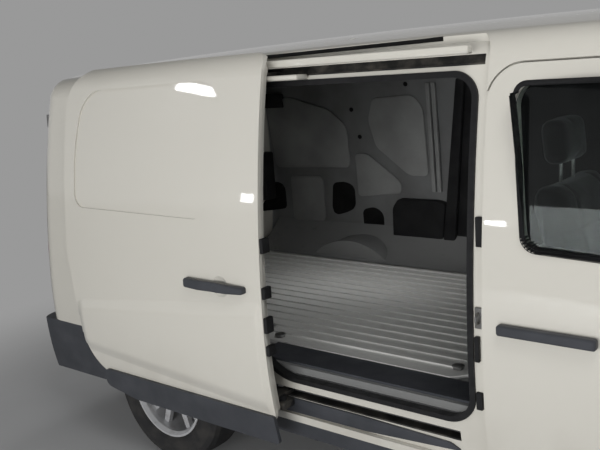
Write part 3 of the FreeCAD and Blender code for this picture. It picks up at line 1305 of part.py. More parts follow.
# Dashboard and steering wheel
dash = doc.addObject("PartDesign::Body", "dash_body")
pad(dash, sketch_polygon(dash, "dash_outline", "XZ_Plane", (
    ("800", "740"),
    ("850", "980"),
    ("960", "1060"),
    (WALL_BACK + " - sizes.seat_clear", "1045"),
    (WALL_BACK + " - sizes.seat_clear", "700"),
    ("900", "680"),
)), "1380", both=True)
STEERING = Vector(722, 370, 938)
STEERING_TILT = Rotation(Vector(0, 1, 0), 115)
wheel = Part.makeTorus(180, 14)
wheel = wheel.fuse(Part.makeCylinder(55, 30, Vector(0, 0, -15)))
wheel = wheel.fuse(Part.makeCylinder(30, 200))
for degrees in (90, 180, 270):
    bar = block((0, -17, -7), (182, 17, 7))
    bar.rotate(Vector(0, 0, 0), Vector(0, 0, 1), degrees)
    wheel = wheel.fuse(bar)
wheel.Placement = Placement(STEERING, STEERING_TILT)
doc.recompute()
feature("dashboard", wheel.fuse(dash.Shape).removeSplitter())

# Seats: boxes that carry them, cushions and backrests
bases = []
cushions = []
for name, side in SIDES:
    low = "%d * 390 - 240" % side
    bases.append(primitive(
        "Part::Box", "seat_base_" + name, ("190", low, "sizes.cab_floor_height + sizes.seat_clear"),
        Length="420", Width="480", Height="200"))
    cushion = primitive(
        "Part::Box", "cushion_box_" + name, ("150", low, "sizes.cab_floor_height + 201"),
        Length="520", Width="480", Height="130")
    back = doc.addObject("PartDesign::Body", "back_body_" + name)
    pad(back, sketch_polygon(back, "back_outline_" + name, "XZ_Plane", (
        ("150", "731.5"), ("280", "731.5"), ("170", "1330"), ("60", "1330"),
    )), "480", both=True)
    back.setExpression("Placement.Base.y", "%d * 390" % side)
    head = doc.addObject("PartDesign::Body", "head_body_" + name)
    pad(head, sketch_polygon(head, "head_outline_" + name, "XZ_Plane", (
        ("62", "1330.5"), ("162", "1330.5"), ("140", "1510"), ("62", "1510"),
    )), "260", both=True)
    head.setExpression("Placement.Base.y", "%d * 390" % side)
    cushions += [cushion, back, head]
keep(gathered("seat_bases_all", bases), "seat_bases")
keep(gathered("seats_all", cushions), "seats")

# Every piece is sound before any file is written
doc.recompute()
for item in doc.Objects:
    if "Invalid" in item.State or "Error" in item.State:
        raise RuntimeError("%s could not be built" % item.Label)
for item in subparts:
    if item.Shape.isNull() or not item.Shape.Solids or not item.Shape.isValid():
        raise RuntimeError("%s is not a sound solid" % item.Label)

os.makedirs("parts", exist_ok=True)
for item in subparts:
    item.Shape.exportStep("parts/%s.step" % item.Label)
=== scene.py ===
import math

import bpy
from mathutils import Matrix, Vector


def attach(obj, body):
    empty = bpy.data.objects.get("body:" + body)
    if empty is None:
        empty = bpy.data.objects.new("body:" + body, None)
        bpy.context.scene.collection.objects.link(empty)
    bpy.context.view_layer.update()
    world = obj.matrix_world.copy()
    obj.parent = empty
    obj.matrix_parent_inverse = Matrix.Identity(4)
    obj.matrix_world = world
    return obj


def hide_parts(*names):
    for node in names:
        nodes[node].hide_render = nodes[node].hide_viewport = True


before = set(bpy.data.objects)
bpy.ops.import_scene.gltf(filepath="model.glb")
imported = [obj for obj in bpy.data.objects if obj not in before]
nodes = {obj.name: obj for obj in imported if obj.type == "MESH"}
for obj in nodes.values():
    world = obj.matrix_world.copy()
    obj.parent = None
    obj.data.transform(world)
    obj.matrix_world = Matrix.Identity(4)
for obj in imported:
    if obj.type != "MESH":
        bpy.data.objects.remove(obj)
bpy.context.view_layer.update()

# The viewpoint: a hand-held camera beside the front door, turned back towards
# the open side door, tipped down a little and rolled.
eye = Vector((1.061, -3.043, 1.717))
yaw, pitch, roll = 0.680, -0.197, -0.070
FOCAL_PIXELS = 774
FRAME_PIXELS = 600
forward = Vector((-math.sin(yaw) * math.cos(pitch), math.cos(yaw) * math.cos(pitch), math.sin(pitch)))
right = forward.cross(Vector((0, 0, 1))).normalized()
upward = right.cross(forward)
rolled_right = right * math.cos(roll) + upward * math.sin(roll)
rolled_up = upward * math.cos(roll) - right * math.sin(roll)
view_matrix = Matrix((rolled_right, rolled_up, -forward)).transposed().to_4x4()
view_matrix.translation = eye
camera_data = bpy.data.cameras.new("photo_camera")
camera_data.sensor_width = 36
camera_data.lens = camera_data.sensor_width * FOCAL_PIXELS / FRAME_PIXELS
camera_data.clip_start = 0.02
camera = bpy.data.objects.new("photo_camera", camera_data)
camera.matrix_world = view_matrix
bpy.context.collection.objects.link(camera)
bpy.context.scene.camera = camera
bpy.context.scene.view_settings.view_transform = "Standard"


class Tone:
    """One socket of a finish: sums on it add Math nodes, and lay() adds any other node."""

    def __init__(self, tree, socket):
        self.tree = tree
        self.socket = socket

    def lay(self, kind, settings, sockets, output=0):
        made = self.tree.nodes.new(kind)
        for name, setting in settings.items():
            setattr(made, name, setting)
        for name, given in sockets.items():
            if isinstance(given, Tone):
                self.tree.links.new(given.socket, made.inputs[name])
            else:
                made.inputs[name].default_value = given
        return Tone(self.tree, made.outputs[output])

    def sum(self, operation, first, second=0.0):
        return self.lay("ShaderNodeMath", {"operation": operation}, {0: first, 1: second})

    def __add__(self, other):
        return self.sum("ADD", self, other)

    def __sub__(self, other):
        return self.sum("SUBTRACT", self, other)

    def __mul__(self, other):
        return self.sum("MULTIPLY", self, other)

    def __rsub__(self, other):
        return self.sum("SUBTRACT", other, self)

    __radd__ = __add__
    __rmul__ = __mul__

    def between(self, low, high, start=0.0, end=1.0):
        """A soft step of this value from start to end as it goes from low to high."""
        return self.lay("ShaderNodeMapRange", {"interpolation_type": "SMOOTHSTEP"},
                        {"Value": self, "From Min": low, "From Max": high, "To Min": start, "To Max": end})

    def noise(self, scale, detail=3.0, roughness=0.5):
        """Cloudy noise read at this place."""
        return self.lay("ShaderNodeTexNoise", {}, {"Vector": self, "Scale": scale, "Detail": detail,
                                                    "Roughness": roughness})

    def part(self, letter):
        """One coordinate of a place."""
        return self.lay("ShaderNodeSeparateXYZ", {}, {"Vector": self}, "XYZ".index(letter))

    def blend(self, first, second):
        """A colour that goes from first to second with this mask."""
        return self.lay("ShaderNodeMix", {"data_type": "RGBA"}, {"Factor": self, 6: first, 7: second}, 2)

    def bump(self, strength, distance):
        """Normals shaped by this height."""
        return self.lay("ShaderNodeBump", {}, {"Strength": strength, "Distance": distance, "Height": self})


def finish(name, metallic=0.0, roughness=0.5, colour=(0.5, 0.5, 0.5, 1), **plain):
    """A new material, its shader and the place on the piece that its patterns read."""
    material = bpy.data.materials.new(name)
    material.use_nodes = True
    tree = material.node_tree
    shader = tree.nodes["Principled BSDF"]
    shader.inputs["Metallic"].default_value = metallic
    shader.inputs["Roughness"].default_value = roughness
    shader.inputs["Base Color"].default_value = colour
    for word, number in plain.items():
        shader.inputs[word.replace("_", " ").title().replace("Ior", "IOR")].default_value = number
    place = Tone(tree, tree.nodes.new("ShaderNodeTexCoord").outputs["Object"])
    return material, shader, place


def feed(shader, **links):
    """Lead tones into a shader's sockets."""
    for word, tone in links.items():
        tone.tree.links.new(tone.socket, shader.inputs[word.replace("_", " ").title()])


def coat_node(material, *names):
    """Give CAD nodes their finish."""
    for name in names:
        mesh = nodes[name].data
        mesh.materials.clear()
        mesh.materials.append(material)


# The room: a plain grey studio floor that fades into an equally plain grey backdrop.
# Neither is part of the van.
bpy.ops.object.select_all(action="DESELECT")
bpy.ops.mesh.primitive_plane_add(size=80, location=(0, 0, 0))
floor = bpy.context.object
floor.name = "studio_floor"
floor_grey, floor_shader, floor_place = finish("studio_grey", roughness=0.6, colour=(0.55, 0.555, 0.56, 1))
BACKDROP = (0.318, 0.318, 0.318, 1)
feed(floor_shader, roughness=floor_place.noise(3.0).between(0.3, 0.7, 0.5, 0.65))
reach = floor_place.lay("ShaderNodeVectorMath", {"operation": "LENGTH"}, {0: floor_place}, "Value")
plain = floor_place.lay("ShaderNodeEmission", {}, {"Color": BACKDROP, "Strength": 1.0})
lit = Tone(floor_place.tree, floor_shader.outputs[0])
seen = floor_place.lay("ShaderNodeLightPath", {}, {}, "Is Camera Ray")
faded = floor_place.lay("ShaderNodeMixShader", {}, {0: reach.between(2.9, 4.6) * seen, 1: lit, 2: plain})
floor_place.tree.links.new(faded.socket, floor_grey.node_tree.nodes["Material Output"].inputs["Surface"])
floor.data.materials.append(floor_grey)

world = bpy.data.worlds.new("room_light")
bpy.context.scene.world = world
world.use_nodes = True
room = world.node_tree.nodes["Background"]
room.inputs["Strength"].default_value = 1.0
height = Tone(world.node_tree, world.node_tree.nodes.new("ShaderNodeTexCoord").outputs["Generated"]).part("Z")
around = height.between(0.05, 0.6).blend((0.42, 0.42, 0.42, 1), (0.09, 0.09, 0.09, 1))
seen = height.lay("ShaderNodeLightPath", {}, {}, "Is Camera Ray").blend(around, BACKDROP)
world.node_tree.links.new(seen.socket, room.inputs["Color"])

# Studio lamps: soft panels above, beside and at both ends of the van, a small one in its
# load space, and three that only leave glints in the paint and the glass.
lamps = (
    # name, place, aimed at, width, length, watts
    ("ceiling_panel", (1.3, -2.2, 3.9), (0.5, -0.7, 1.7), 1.8, 1.4, 38),
    ("side_panel", (-0.1, -5.4, 0.8), (-0.7, -0.9, 0.35), 3.6, 1.2, 130),
    ("nose_panel", (5.5, 1.5, 3.0), (0, 0, 0.8), 3.0, 2.4, 80),
    ("load_panel", (-1.15, 0.05, 1.10), (-1.25, 0.35, 0.6), 0.9, 0.4, 1.6),
    ("strip_glint", (-3.28, -2.90, 2.46), (-1.1, -1.0, 1.67), 0.32, 0.09, 2.2),
    ("small_glint", (-2.83, -3.24, 1.30), (-0.81, -1.03, 1.41), 0.09, 0.09, 0.6),
    ("door_glint", (-1.13, -3.66, 1.15), (0.09, -0.92, 1.34), 0.14, 0.05, 0.6),
    ("far_panel", (-2.5, 5.0, 3.6), (0, 0, 1), 4.0, 2.4, 90),
)
for name, place, target, width, length, watts in lamps:
    lamp_data = bpy.data.lights.new(name, "AREA")
    lamp_data.shape = "RECTANGLE"
    lamp_data.size = width
    lamp_data.size_y = length
    lamp_data.energy = watts
    lamp = bpy.data.objects.new(name, lamp_data)
    lamp.location = place
    lamp.visible_glossy = name == "nose_panel" or name.endswith("glint")
    lamp.visible_camera = False
    lamp.rotation_euler = (Vector(target) - Vector(place)).to_track_quat("-Z", "Y").to_euler()
    bpy.context.collection.objects.link(lamp)

# Body panels: pressed steel in a glossy, slightly warm off-white, with a clear coat,
# a trace of orange peel and a thin film of dust towards the sills.
PAINT = (0.635, 0.615, 0.555, 1)
# Inner faces of the body panels show a dark grey in place of the white paint: painted shade.
INSIDE_SHADE_GREY = (0.19, 0.195, 0.195, 1)


def body_paint(name, inward):
    """Body paint that turns to a dark grey painted shade, mottled at random and without clear coat, on faces
    whose normal runs inwards.
    """
    made, shader, place = finish(name, roughness=0.34, coat_weight=1.0, coat_roughness=0.03, coat_ior=1.5)
    dust = place.part("Z").between(0.75, 0.25) * place.noise(6.0, 6.0).between(0.35, 0.7)
    outside = (dust * 0.35).blend(PAINT, (0.45, 0.42, 0.36, 1))
    if inward is None:
        feed(shader, base_color=outside)
    else:
        turn = place.lay("ShaderNodeNewGeometry", {}, {}, "Normal")
        along = turn.lay("ShaderNodeVectorMath", {"operation": "DOT_PRODUCT"}, {0: turn, 1: inward}, "Value")
        inside = along.between(0.35, 0.6)
        grime = place.noise(5.0, 6.0).between(0.35, 0.7)
        shaded_inside = grime.blend(INSIDE_SHADE_GREY, (0.15, 0.15, 0.15, 1))
        feed(shader, base_color=inside.blend(outside, shaded_inside), coat_weight=1.0 - inside)
    feed(shader, roughness=place.noise(2.0).between(0.3, 0.7, 0.3, 0.4),
         normal=place.noise(260.0, 1.0).bump(0.05, 0.0004))
    return made


paint = body_paint("warm_white_paint", None)
coat_node(paint, "sliding_door", "front_wings", "bonnet", "front_door_left", "front_door_right",
          "rear_door_left", "rear_door_right")
coat_node(body_paint("left_side_paint", (0, -1, 0)), "side_left")
coat_node(body_paint("right_side_paint", (0, 1, 0)), "side_right")
coat_node(body_paint("roof_paint", (0, 0, -1)), "roof")

# Inner pressings that the load space and the cab show: the same steel, thinly sprayed, so flatter,
# and drawn in a dark grey that is painted shade inside the van, with random scuffs.
inner, inner_shader, inner_place = finish("inner_painted_shade", roughness=0.5, coat_weight=0.3,
                                          coat_roughness=0.2)
scuffs = inner_place.noise(9.0, 8.0, 0.7).between(0.55, 0.75)
feed(inner_shader,
     base_color=(scuffs * 0.4).blend((0.21, 0.212, 0.21, 1), (0.13, 0.13, 0.128, 1)),
     roughness=scuffs * 0.2 + 0.42)
coat_node(inner, "floor_pan", "firewall")

# Bumpers, mouldings, grille, dashboard and the trim of the front doors: dark grey plastic
# with a moulded-in grain, clipped to the body.
grained, grained_shader, grained_place = finish("grained_plastic", roughness=0.55)
grain = grained_place.noise(900.0, 2.0)
feed(grained_shader,
     base_color=grained_place.noise(7.0, 5.0).between(0.3, 0.75).blend((0.042, 0.045, 0.052, 1),
                                                                      (0.058, 0.061, 0.070, 1)),
     roughness=grained_place.noise(12.0).between(0.3, 0.7, 0.48, 0.62),
     normal=grain.bump(0.35, 0.0005))
coat_node(grained, "front_bumper", "rear_bumper", "sliding_door_trim", "sill_mouldings", "grille",
          "scuttle_panel", "front_trim_left", "front_trim_right", "dashboard", "seat_bases")

# Door seal: an extruded strip of soft black rubber pushed over the flange of the side
# entry, dulled by handling.
rubber, rubber_shader, rubber_place = finish("sealing_rubber", roughness=0.6, colour=(0.012, 0.012, 0.013, 1))
feed(rubber_shader,
     roughness=rubber_place.noise(30.0, 4.0).between(0.3, 0.7, 0.5, 0.72),
     normal=rubber_place.noise(300.0, 2.0).bump(0.2, 0.0006))
coat_node(rubber, "entry_seal")

# Glass: clear safety glass with a faint green edge, the windscreen bonded in and the
# door panes run in channels.
glass, glass_shader, glass_place = finish("clear_glass", roughness=0.0, colour=(0.60, 0.66, 0.65, 1),
                                          transmission_weight=1.0, ior=1.3)
feed(glass_shader, roughness=glass_place.noise(5.0).between(0.4, 0.8, 0.0, 0.03))
coat_node(glass, "windscreen", "front_glass_left", "front_glass_right")

# Lamps: moulded lenses with fine flutes, red behind and clear in front, fastened into
# the corners of the body.
red_lens, red_shader, red_place = finish("red_lens", roughness=0.12, coat_weight=0.6)
flutes = (red_place.part("Z") * 420.0).sum("SINE", red_place.part("Z") * 420.0)
feed(red_shader,
     base_color=flutes.between(-1, 1).blend((0.30, 0.010, 0.012, 1), (0.42, 0.02, 0.02, 1)),
     normal=flutes.bump(0.3, 0.001))
coat_node(red_lens, "rear_lamps")
clear_lens, clear_shader, clear_place = finish("clear_lens", roughness=0.08, coat_weight=1.0, metallic=0.35)
clear_flutes = (clear_place.part("Y") * 300.0).sum("SINE", clear_place.part("Y") * 300.0)
feed(clear_shader,
     base_color=clear_flutes.between(-1, 1).blend((0.50, 0.52, 0.54, 1), (0.62, 0.64, 0.66, 1)),
     normal=clear_flutes.bump(0.15, 0.001))
coat_node(clear_lens, "headlamps")

# Running gear: welded arms, members and rear beam in satin black with road dust on them,
# like the sliding door's rails and arms. Castings stay bare, and hinges are zinc plated.
chassis, chassis_shader, chassis_place = finish("satin_black_steel", roughness=0.5)
road_dust = chassis_place.noise(14.0, 7.0, 0.65).between(0.42, 0.68)
feed(chassis_shader,
     base_color=road_dust.blend((0.018, 0.018, 0.018, 1), (0.085, 0.078, 0.068, 1)),
     roughness=road_dust * 0.35 + 0.4)
coat_node(chassis, "underframe", "rear_axle", "door_gear")
cast, cast_shader, cast_place = finish("bare_casting", metallic=0.8, roughness=0.55)
feed(cast_shader,
     base_color=cast_place.noise(20.0, 6.0).between(0.3, 0.7).blend((0.16, 0.16, 0.165, 1),
                                                                    (0.30, 0.30, 0.31, 1)),
     normal=cast_place.noise(240.0, 3.0).bump(0.4, 0.001))
coat_node(cast, "engine", "knuckle_left", "knuckle_right")
plated, plated_shader, plated_place = finish("zinc_plated_steel", metallic=0.9, roughness=0.35)
feed(plated_shader,
     base_color=plated_place.noise(30.0, 5.0).between(0.3, 0.75).blend((0.42, 0.42, 0.42, 1),
                                                                      (0.30, 0.295, 0.28, 1)),
     roughness=plated_place.noise(60.0, 4.0).between(0.3, 0.7, 0.28, 0.48))
coat_node(plated, "rear_hinges")

# Wheels: cast alloy wheels in silver lacquer, dulled by brake dust, with road tyres
# mounted on them.
silver, silver_shader, silver_place = finish("silver_lacquer", metallic=0.4, roughness=0.4, coat_weight=0.3)
brake_dust = silver_place.noise(25.0, 6.0).between(0.45, 0.75)
feed(silver_shader,
     base_color=(brake_dust * 0.5).blend((0.60, 0.605, 0.62, 1), (0.34, 0.32, 0.30, 1)),
     roughness=brake_dust * 0.2 + 0.38)
tread, tread_shader, tread_place = finish("tyre_rubber", roughness=0.75)
feed(tread_shader,
     base_color=tread_place.noise(18.0, 5.0).between(0.35, 0.7).blend((0.022, 0.022, 0.023, 1),
                                                                      (0.040, 0.038, 0.036, 1)),
     normal=tread_place.noise(500.0, 2.0).bump(0.25, 0.0006))
for corner in ("front_left", "front_right", "rear_left", "rear_right"):
    coat_node(silver, "rim_" + corner)
    coat_node(tread, "tyre_" + corner)

# Load floor: a ribbed metal plate, silver grey and slightly scratched along its length,
# fastened down over the floor pan.
plate, plate_shader, plate_place = finish("ribbed_floor_plate", metallic=0.15, roughness=0.5)
drawn_out = plate_place.lay("ShaderNodeMapping", {}, {"Vector": plate_place, "Scale": (2.0, 60.0, 60.0)})
scratches = drawn_out.noise(8.0, 5.0)
feed(plate_shader,
     base_color=scratches.between(0.35, 0.7).blend((0.62, 0.62, 0.60, 1), (0.76, 0.76, 0.74, 1)),
     roughness=scratches.between(0.3, 0.7, 0.32, 0.5),
     normal=scratches.bump(0.1, 0.0005))
coat_node(plate, "load_floor")

# Sliding door, outside: the lower half is pressed outwards below a soft shoulder and tucks
# back in at a crease above the moulding. The pressing is one sheet with the door skin.
RIGHT, LEFT = -1, 1
DOOR_BACK = -0.804
BODY_HALF = 0.93
SHEET_LIFT = 0.017
SHEET_SUNK = 0.0012
PRESSING_REAR, PRESSING_LENGTH = 1.135, 1.17
SHOULDER_HEIGHT, SHOULDER_RISE = 0.775, 0.135
CREASE_HEIGHT, CREASE_FALL = 0.585, 0.075
SOFT_BEND = 0.075


def skin_at(node, forward, height, side):
    """Y of a CAD node's outer face at a place on one side of the van, or None beside it."""
    start = Vector((forward, side * 1.6, height))
    hit, place, _normal, _index = nodes[node].ray_cast(start, Vector((0, -side, 0)))
    return place.y if hit else None


def soft_step(number, low, high):
    """0 below low, 1 above high, smooth between."""
    share = min(max((number - low) / (high - low), 0.0), 1.0)
    return share * share * (3 - 2 * share)


def turn_over():
    """Flip the faces of the piece being modelled."""
    bpy.ops.object.mode_set(mode="EDIT")
    bpy.ops.mesh.select_all(action="SELECT")
    bpy.ops.mesh.flip_normals()
    bpy.ops.object.mode_set(mode="OBJECT")


def pressed_sheet(name, node, side, low, high, cell, lift_at):
    """A sheet that follows a node's skin and stands off it by lift_at(forward, height)."""
    bpy.ops.object.select_all(action="DESELECT")
    wide, tall = high[0] - low[0], high[1] - low[1]
    bpy.ops.mesh.primitive_grid_add(x_subdivisions=round(wide / cell), y_subdivisions=round(tall / cell),
                                    size=1)
    piece = bpy.context.object
    piece.name = name
    bare = []
    for vertex in piece.data.vertices:
        forward = low[0] + (vertex.co.x + 0.5) * wide
        height = low[1] + (vertex.co.y + 0.5) * tall
        skin = skin_at(node, forward, height, side)
        if skin is None:
            bare.append(vertex.index)
            skin = side * 0.9
        vertex.co = (forward, skin + side * lift_at(forward, height), height)
    bpy.ops.object.mode_set(mode="EDIT")
    bpy.ops.mesh.select_all(action="DESELECT")
    bpy.ops.object.mode_set(mode="OBJECT")
    for index in bare:
        piece.data.vertices[index].select = True
    bpy.ops.object.mode_set(mode="EDIT")
    bpy.ops.mesh.select_mode(type="VERT")
    bpy.ops.mesh.delete(type="VERT")
    bpy.ops.object.mode_set(mode="OBJECT")
    if side == RIGHT:
        turn_over()
    bpy.ops.object.shade_smooth()
    return piece


def dress(piece, material, body="root"):
    """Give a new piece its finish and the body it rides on."""
    piece.data.materials.clear()
    piece.data.materials.append(material)
    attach(piece, body)


def shoulder_lift(forward, height):
    """Height of the door's pressing over its skin."""
    along = (forward - DOOR_BACK + PRESSING_REAR) / PRESSING_LENGTH
    edge = SHOULDER_HEIGHT + SHOULDER_RISE * min(max(along, 0.0), 1.0)
    crease = CREASE_HEIGHT - CREASE_FALL * along
    rise = soft_step(edge - height, 0.0, SOFT_BEND)
    tuck = soft_step(height, crease - SOFT_BEND, crease)
    rear = soft_step(along, 0.012, 0.075)
    front = soft_step(1.0 - along, 0.004, 0.016)
    return SHEET_LIFT * rise * tuck * rear * front - SHEET_SUNK


shoulder = pressed_sheet("sliding_door_shoulder", "sliding_door", RIGHT,
                         (DOOR_BACK - 1.130, 0.440), (DOOR_BACK + 0.036, 0.930), 0.009, shoulder_lift)
dress(shoulder, paint)

# Sliding door handle: a black grained pull bar with rounded ends, screwed through the
# skin from inside.
SMOOTH_ANGLE = math.radians(40)
THIN_EDGE = 0.0015
BAR_PROUD = 0.036
BAR_HALF = 0.019


def flat_outline(name, corners, level, facing):
    """One flat face with the given corners, lying at a level along the axis that it faces."""
    bpy.ops.object.select_all(action="DESELECT")
    bpy.ops.mesh.primitive_circle_add(vertices=len(corners), fill_type="NGON", radius=1)
    piece = bpy.context.object
    piece.name = name
    for vertex, (first, second) in zip(piece.data.vertices, corners):
        vertex.co = (level, first, second) if facing == "X" else (first, level, second)
    return piece


def round_edges(piece, width, segments):
    """Bevel a piece's sharp edges."""
    soften = piece.modifiers.new("edge", "BEVEL")
    soften.width = width
    soften.segments = segments
    soften.limit_method = "ANGLE"
    bpy.ops.object.modifier_apply(modifier="edge")


def divide(cuts):
    """Cut the piece being modelled finer, so that it can bend."""
    bpy.ops.object.mode_set(mode="EDIT")
    bpy.ops.mesh.select_all(action="SELECT")
    bpy.ops.mesh.subdivide(number_cuts=cuts)
    bpy.ops.object.mode_set(mode="OBJECT")


def outlined(name, corners, rounding, low, high, facing="Y", edge=THIN_EDGE, steps=5):
    """A flat piece cut to an outline with rounded corners, its depth from low to high."""
    piece = flat_outline(name, corners, low, facing)
    depth = [high - low if letter == facing else 0.0 for letter in "XYZ"]
    bpy.ops.object.mode_set(mode="EDIT")
    bpy.ops.mesh.select_all(action="SELECT")
    if rounding:
        bpy.ops.mesh.bevel(offset=rounding, offset_type="OFFSET", segments=steps, affect="VERTICES")
    bpy.ops.mesh.extrude_region_move(TRANSFORM_OT_translate={"value": depth})
    bpy.ops.mesh.select_all(action="SELECT")
    bpy.ops.mesh.normals_make_consistent(inside=False)
    bpy.ops.object.mode_set(mode="OBJECT")
    if edge:
        round_edges(piece, edge, 2)
    bpy.ops.object.shade_smooth_by_angle(angle=SMOOTH_ANGLE)
    return piece


def laid_on(piece, node, side):
    """Bend a piece modelled flat, Y as height over the skin, onto a node's skin."""
    last = side * BODY_HALF
    for vertex in piece.data.vertices:
        skin = skin_at(node, vertex.co.x, vertex.co.z, side)
        last = last if skin is None else skin
        vertex.co.y = last + side * vertex.co.y
    if side == RIGHT:
        turn_over()
    return piece


def rod(name, low, high, rounding=0.004, steps=3):
    """A bar between two corners with its edges rounded."""
    bpy.ops.object.select_all(action="DESELECT")
    middle = [(first + second) / 2 for first, second in zip(low, high)]
    size = [abs(second - first) for first, second in zip(low, high)]
    bpy.ops.mesh.primitive_cube_add(size=1, location=middle, scale=size)
    piece = bpy.context.object
    piece.name = name
    bpy.ops.object.transform_apply(location=True, rotation=True, scale=True)
    round_edges(piece, rounding, steps)
    bpy.ops.object.shade_smooth_by_angle(angle=SMOOTH_ANGLE)
    return piece


def pull_bar(name, node, side, rear, front, height):
    """A door's pull bar: two feet on the skin and a bowed grip between them."""
    grip = rod(name, (rear, 0.0, height - BAR_HALF), (front, BAR_PROUD, height + BAR_HALF), 0.011, 4)
    divide(3)
    middle, half = (rear + front) / 2, (front - rear) / 2
    for vertex in grip.data.vertices:
        share = (vertex.co.x - middle) / half
        near_skin = 1.0 - vertex.co.y / BAR_PROUD
        vertex.co.y += 0.016 * near_skin * soft_step(1 - abs(share), 0.12, 0.34) - 0.008 * share * share
        vertex.co.z += (vertex.co.z - height) * -0.28 * soft_step(share, 0.1, 1.0)
        vertex.co.y = max(vertex.co.y, -0.0008)
    laid_on(grip, node, side)
    return grip


slide_handle = pull_bar("sliding_door_handle", "sliding_door", RIGHT, DOOR_BACK - 0.347, DOOR_BACK - 0.034,
                        0.936)
dress(slide_handle, grained)

# Stops and guide blocks along the sliding door's front edge: moulded rubber blocks,
# screwed on.
STOPS = ((1.105, 0.055), (0.930, 0.045), (0.808, 0.060), (0.709, 0.040))
front = DOOR_BACK + 0.038
for index, (height, tall) in enumerate(STOPS):
    skin = skin_at("sliding_door", front - 0.02, height, RIGHT)
    stop = rod("door_stop_%d" % index, (front - 0.004, skin + 0.004, height - tall / 2),
               (front + 0.014, skin + 0.046, height + tall / 2), 0.004)
    dress(stop, rubber)

# Left wall of the load space: pressed inner panels spot-welded to the side, with soft raised fields
# and two ridges in a grey that paints the wall's shade, and flat near-black sheets painted as the
# shade in the punched holes and the openings into the cavity behind.
WALL_HALF = 0.86


def wall_at(forward, height):
    """Y of the left wall's inner face."""
    start = Vector((forward, 0, height))
    hit, place, _normal, _index = nodes["side_left"].ray_cast(start, Vector((0, 1, 0)))
    return place.y if hit else WALL_HALF


def on_wall(piece, material):
    """Lean a piece that was modelled at Y = 0 against the left wall, and finish it."""
    for vertex in piece.data.vertices:
        vertex.co.y += wall_at(vertex.co.x, vertex.co.z)
    dress(piece, material)


# Raised fields and ridges: a mottled mid grey in place of the white paint, painted shade.
field, field_shader, field_place = finish("wall_field_painted_shade", roughness=0.42, coat_weight=0.3,
                                          coat_roughness=0.2)
feed(field_shader,
     base_color=field_place.noise(5.0, 6.0).between(0.3, 0.75).blend((0.29, 0.295, 0.29, 1),
                                                                     (0.22, 0.222, 0.22, 1)))
WALL_FIELDS = (
    # name, corners as forward and height, rounding
    ("rear", ((-2.24, 1.10), (-1.65, 1.11), (-1.65, 1.37), (-1.76, 1.47), (-2.06, 1.56), (-2.24, 1.50)),
     0.035),
    ("middle", ((-1.455, 1.24), (-1.245, 1.07), (-1.115, 1.07), (-1.115, 1.47), (-1.17, 1.54), (-1.44, 1.53),
                (-1.49, 1.40)), 0.03),
    ("low_rear", ((-2.13, 0.75), (-1.87, 0.76), (-1.87, 1.05), (-2.13, 1.05)), 0.03),
    ("low_middle", ((-1.61, 0.93), (-1.41, 0.95), (-1.30, 0.96), (-1.30, 1.03), (-1.52, 1.20),
                    (-1.61, 1.20)), 0.025),
)
for name, corners, rounding in WALL_FIELDS:
    raised = outlined("wall_field_" + name, corners, rounding, -0.014, 0.004, edge=0.009)
    on_wall(raised, field)
for index, forward in enumerate((-1.085, -1.05)):
    corners = ((forward - 0.012, 0.98), (forward + 0.012, 0.98), (forward + 0.03, 1.60),
               (forward + 0.006, 1.60))
    ridge = outlined("wall_ridge_%d" % index, corners, 0.004, -0.018, 0.004, edge=0.005)
    on_wall(ridge, field)

# Holes, openings and the roof slot: flat near-black sheets, painted shade of the cavities behind.
painted_void_shade, void_shader, void_place = finish("painted_cavity_shade", roughness=0.9, colour=(0.006, 0.006, 0.006, 1))
feed(void_shader,
     base_color=void_place.noise(12.0, 4.0).between(0.3, 0.7).blend((0.004, 0.004, 0.004, 1),
                                                                    (0.010, 0.010, 0.010, 1)))
OPENING_ROUNDING = 0.03
OPENINGS = (
    # name, corners as forward and height
    ("rear", ((-2.37, 0.82), (-2.19, 0.82), (-2.19, 0.97), (-2.23, 1.00), (-2.37, 1.00))),
    ("middle", ((-1.82, 0.84), (-1.79, 0.80), (-1.69, 0.83), (-1.64, 0.86), (-1.64, 0.99), (-1.70, 1.02),
                (-1.80, 1.01))),
    ("front", ((-1.585, 0.735), (-1.44, 0.735), (-1.44, 0.83), (-1.50, 0.87), (-1.59, 0.85))),
)
for name, corners in OPENINGS:
    opening = outlined("wall_opening_" + name, corners, OPENING_ROUNDING, -0.003, 0.003, edge=0.0)
    on_wall(opening, painted_void_shade)
HOLES = ((-1.60, 1.465), (-1.565, 1.30), (-1.533, 1.117), (-1.478, 1.12), (-1.94, 0.985), (-2.095, 0.95),
         (-1.21, 1.60))
HOLE_RADIUS = 0.013
HOLE_TURNS = [step * math.pi / 8 for step in range(16)]
for index, (forward, height) in enumerate(HOLES):
    ring = [(forward + HOLE_RADIUS * math.cos(turn), height + HOLE_RADIUS * math.sin(turn))
            for turn in HOLE_TURNS]
    hole = outlined("wall_hole_%d" % index, ring, 0.0, -0.003, 0.002, edge=0.0)
    on_wall(hole, painted_void_shade)

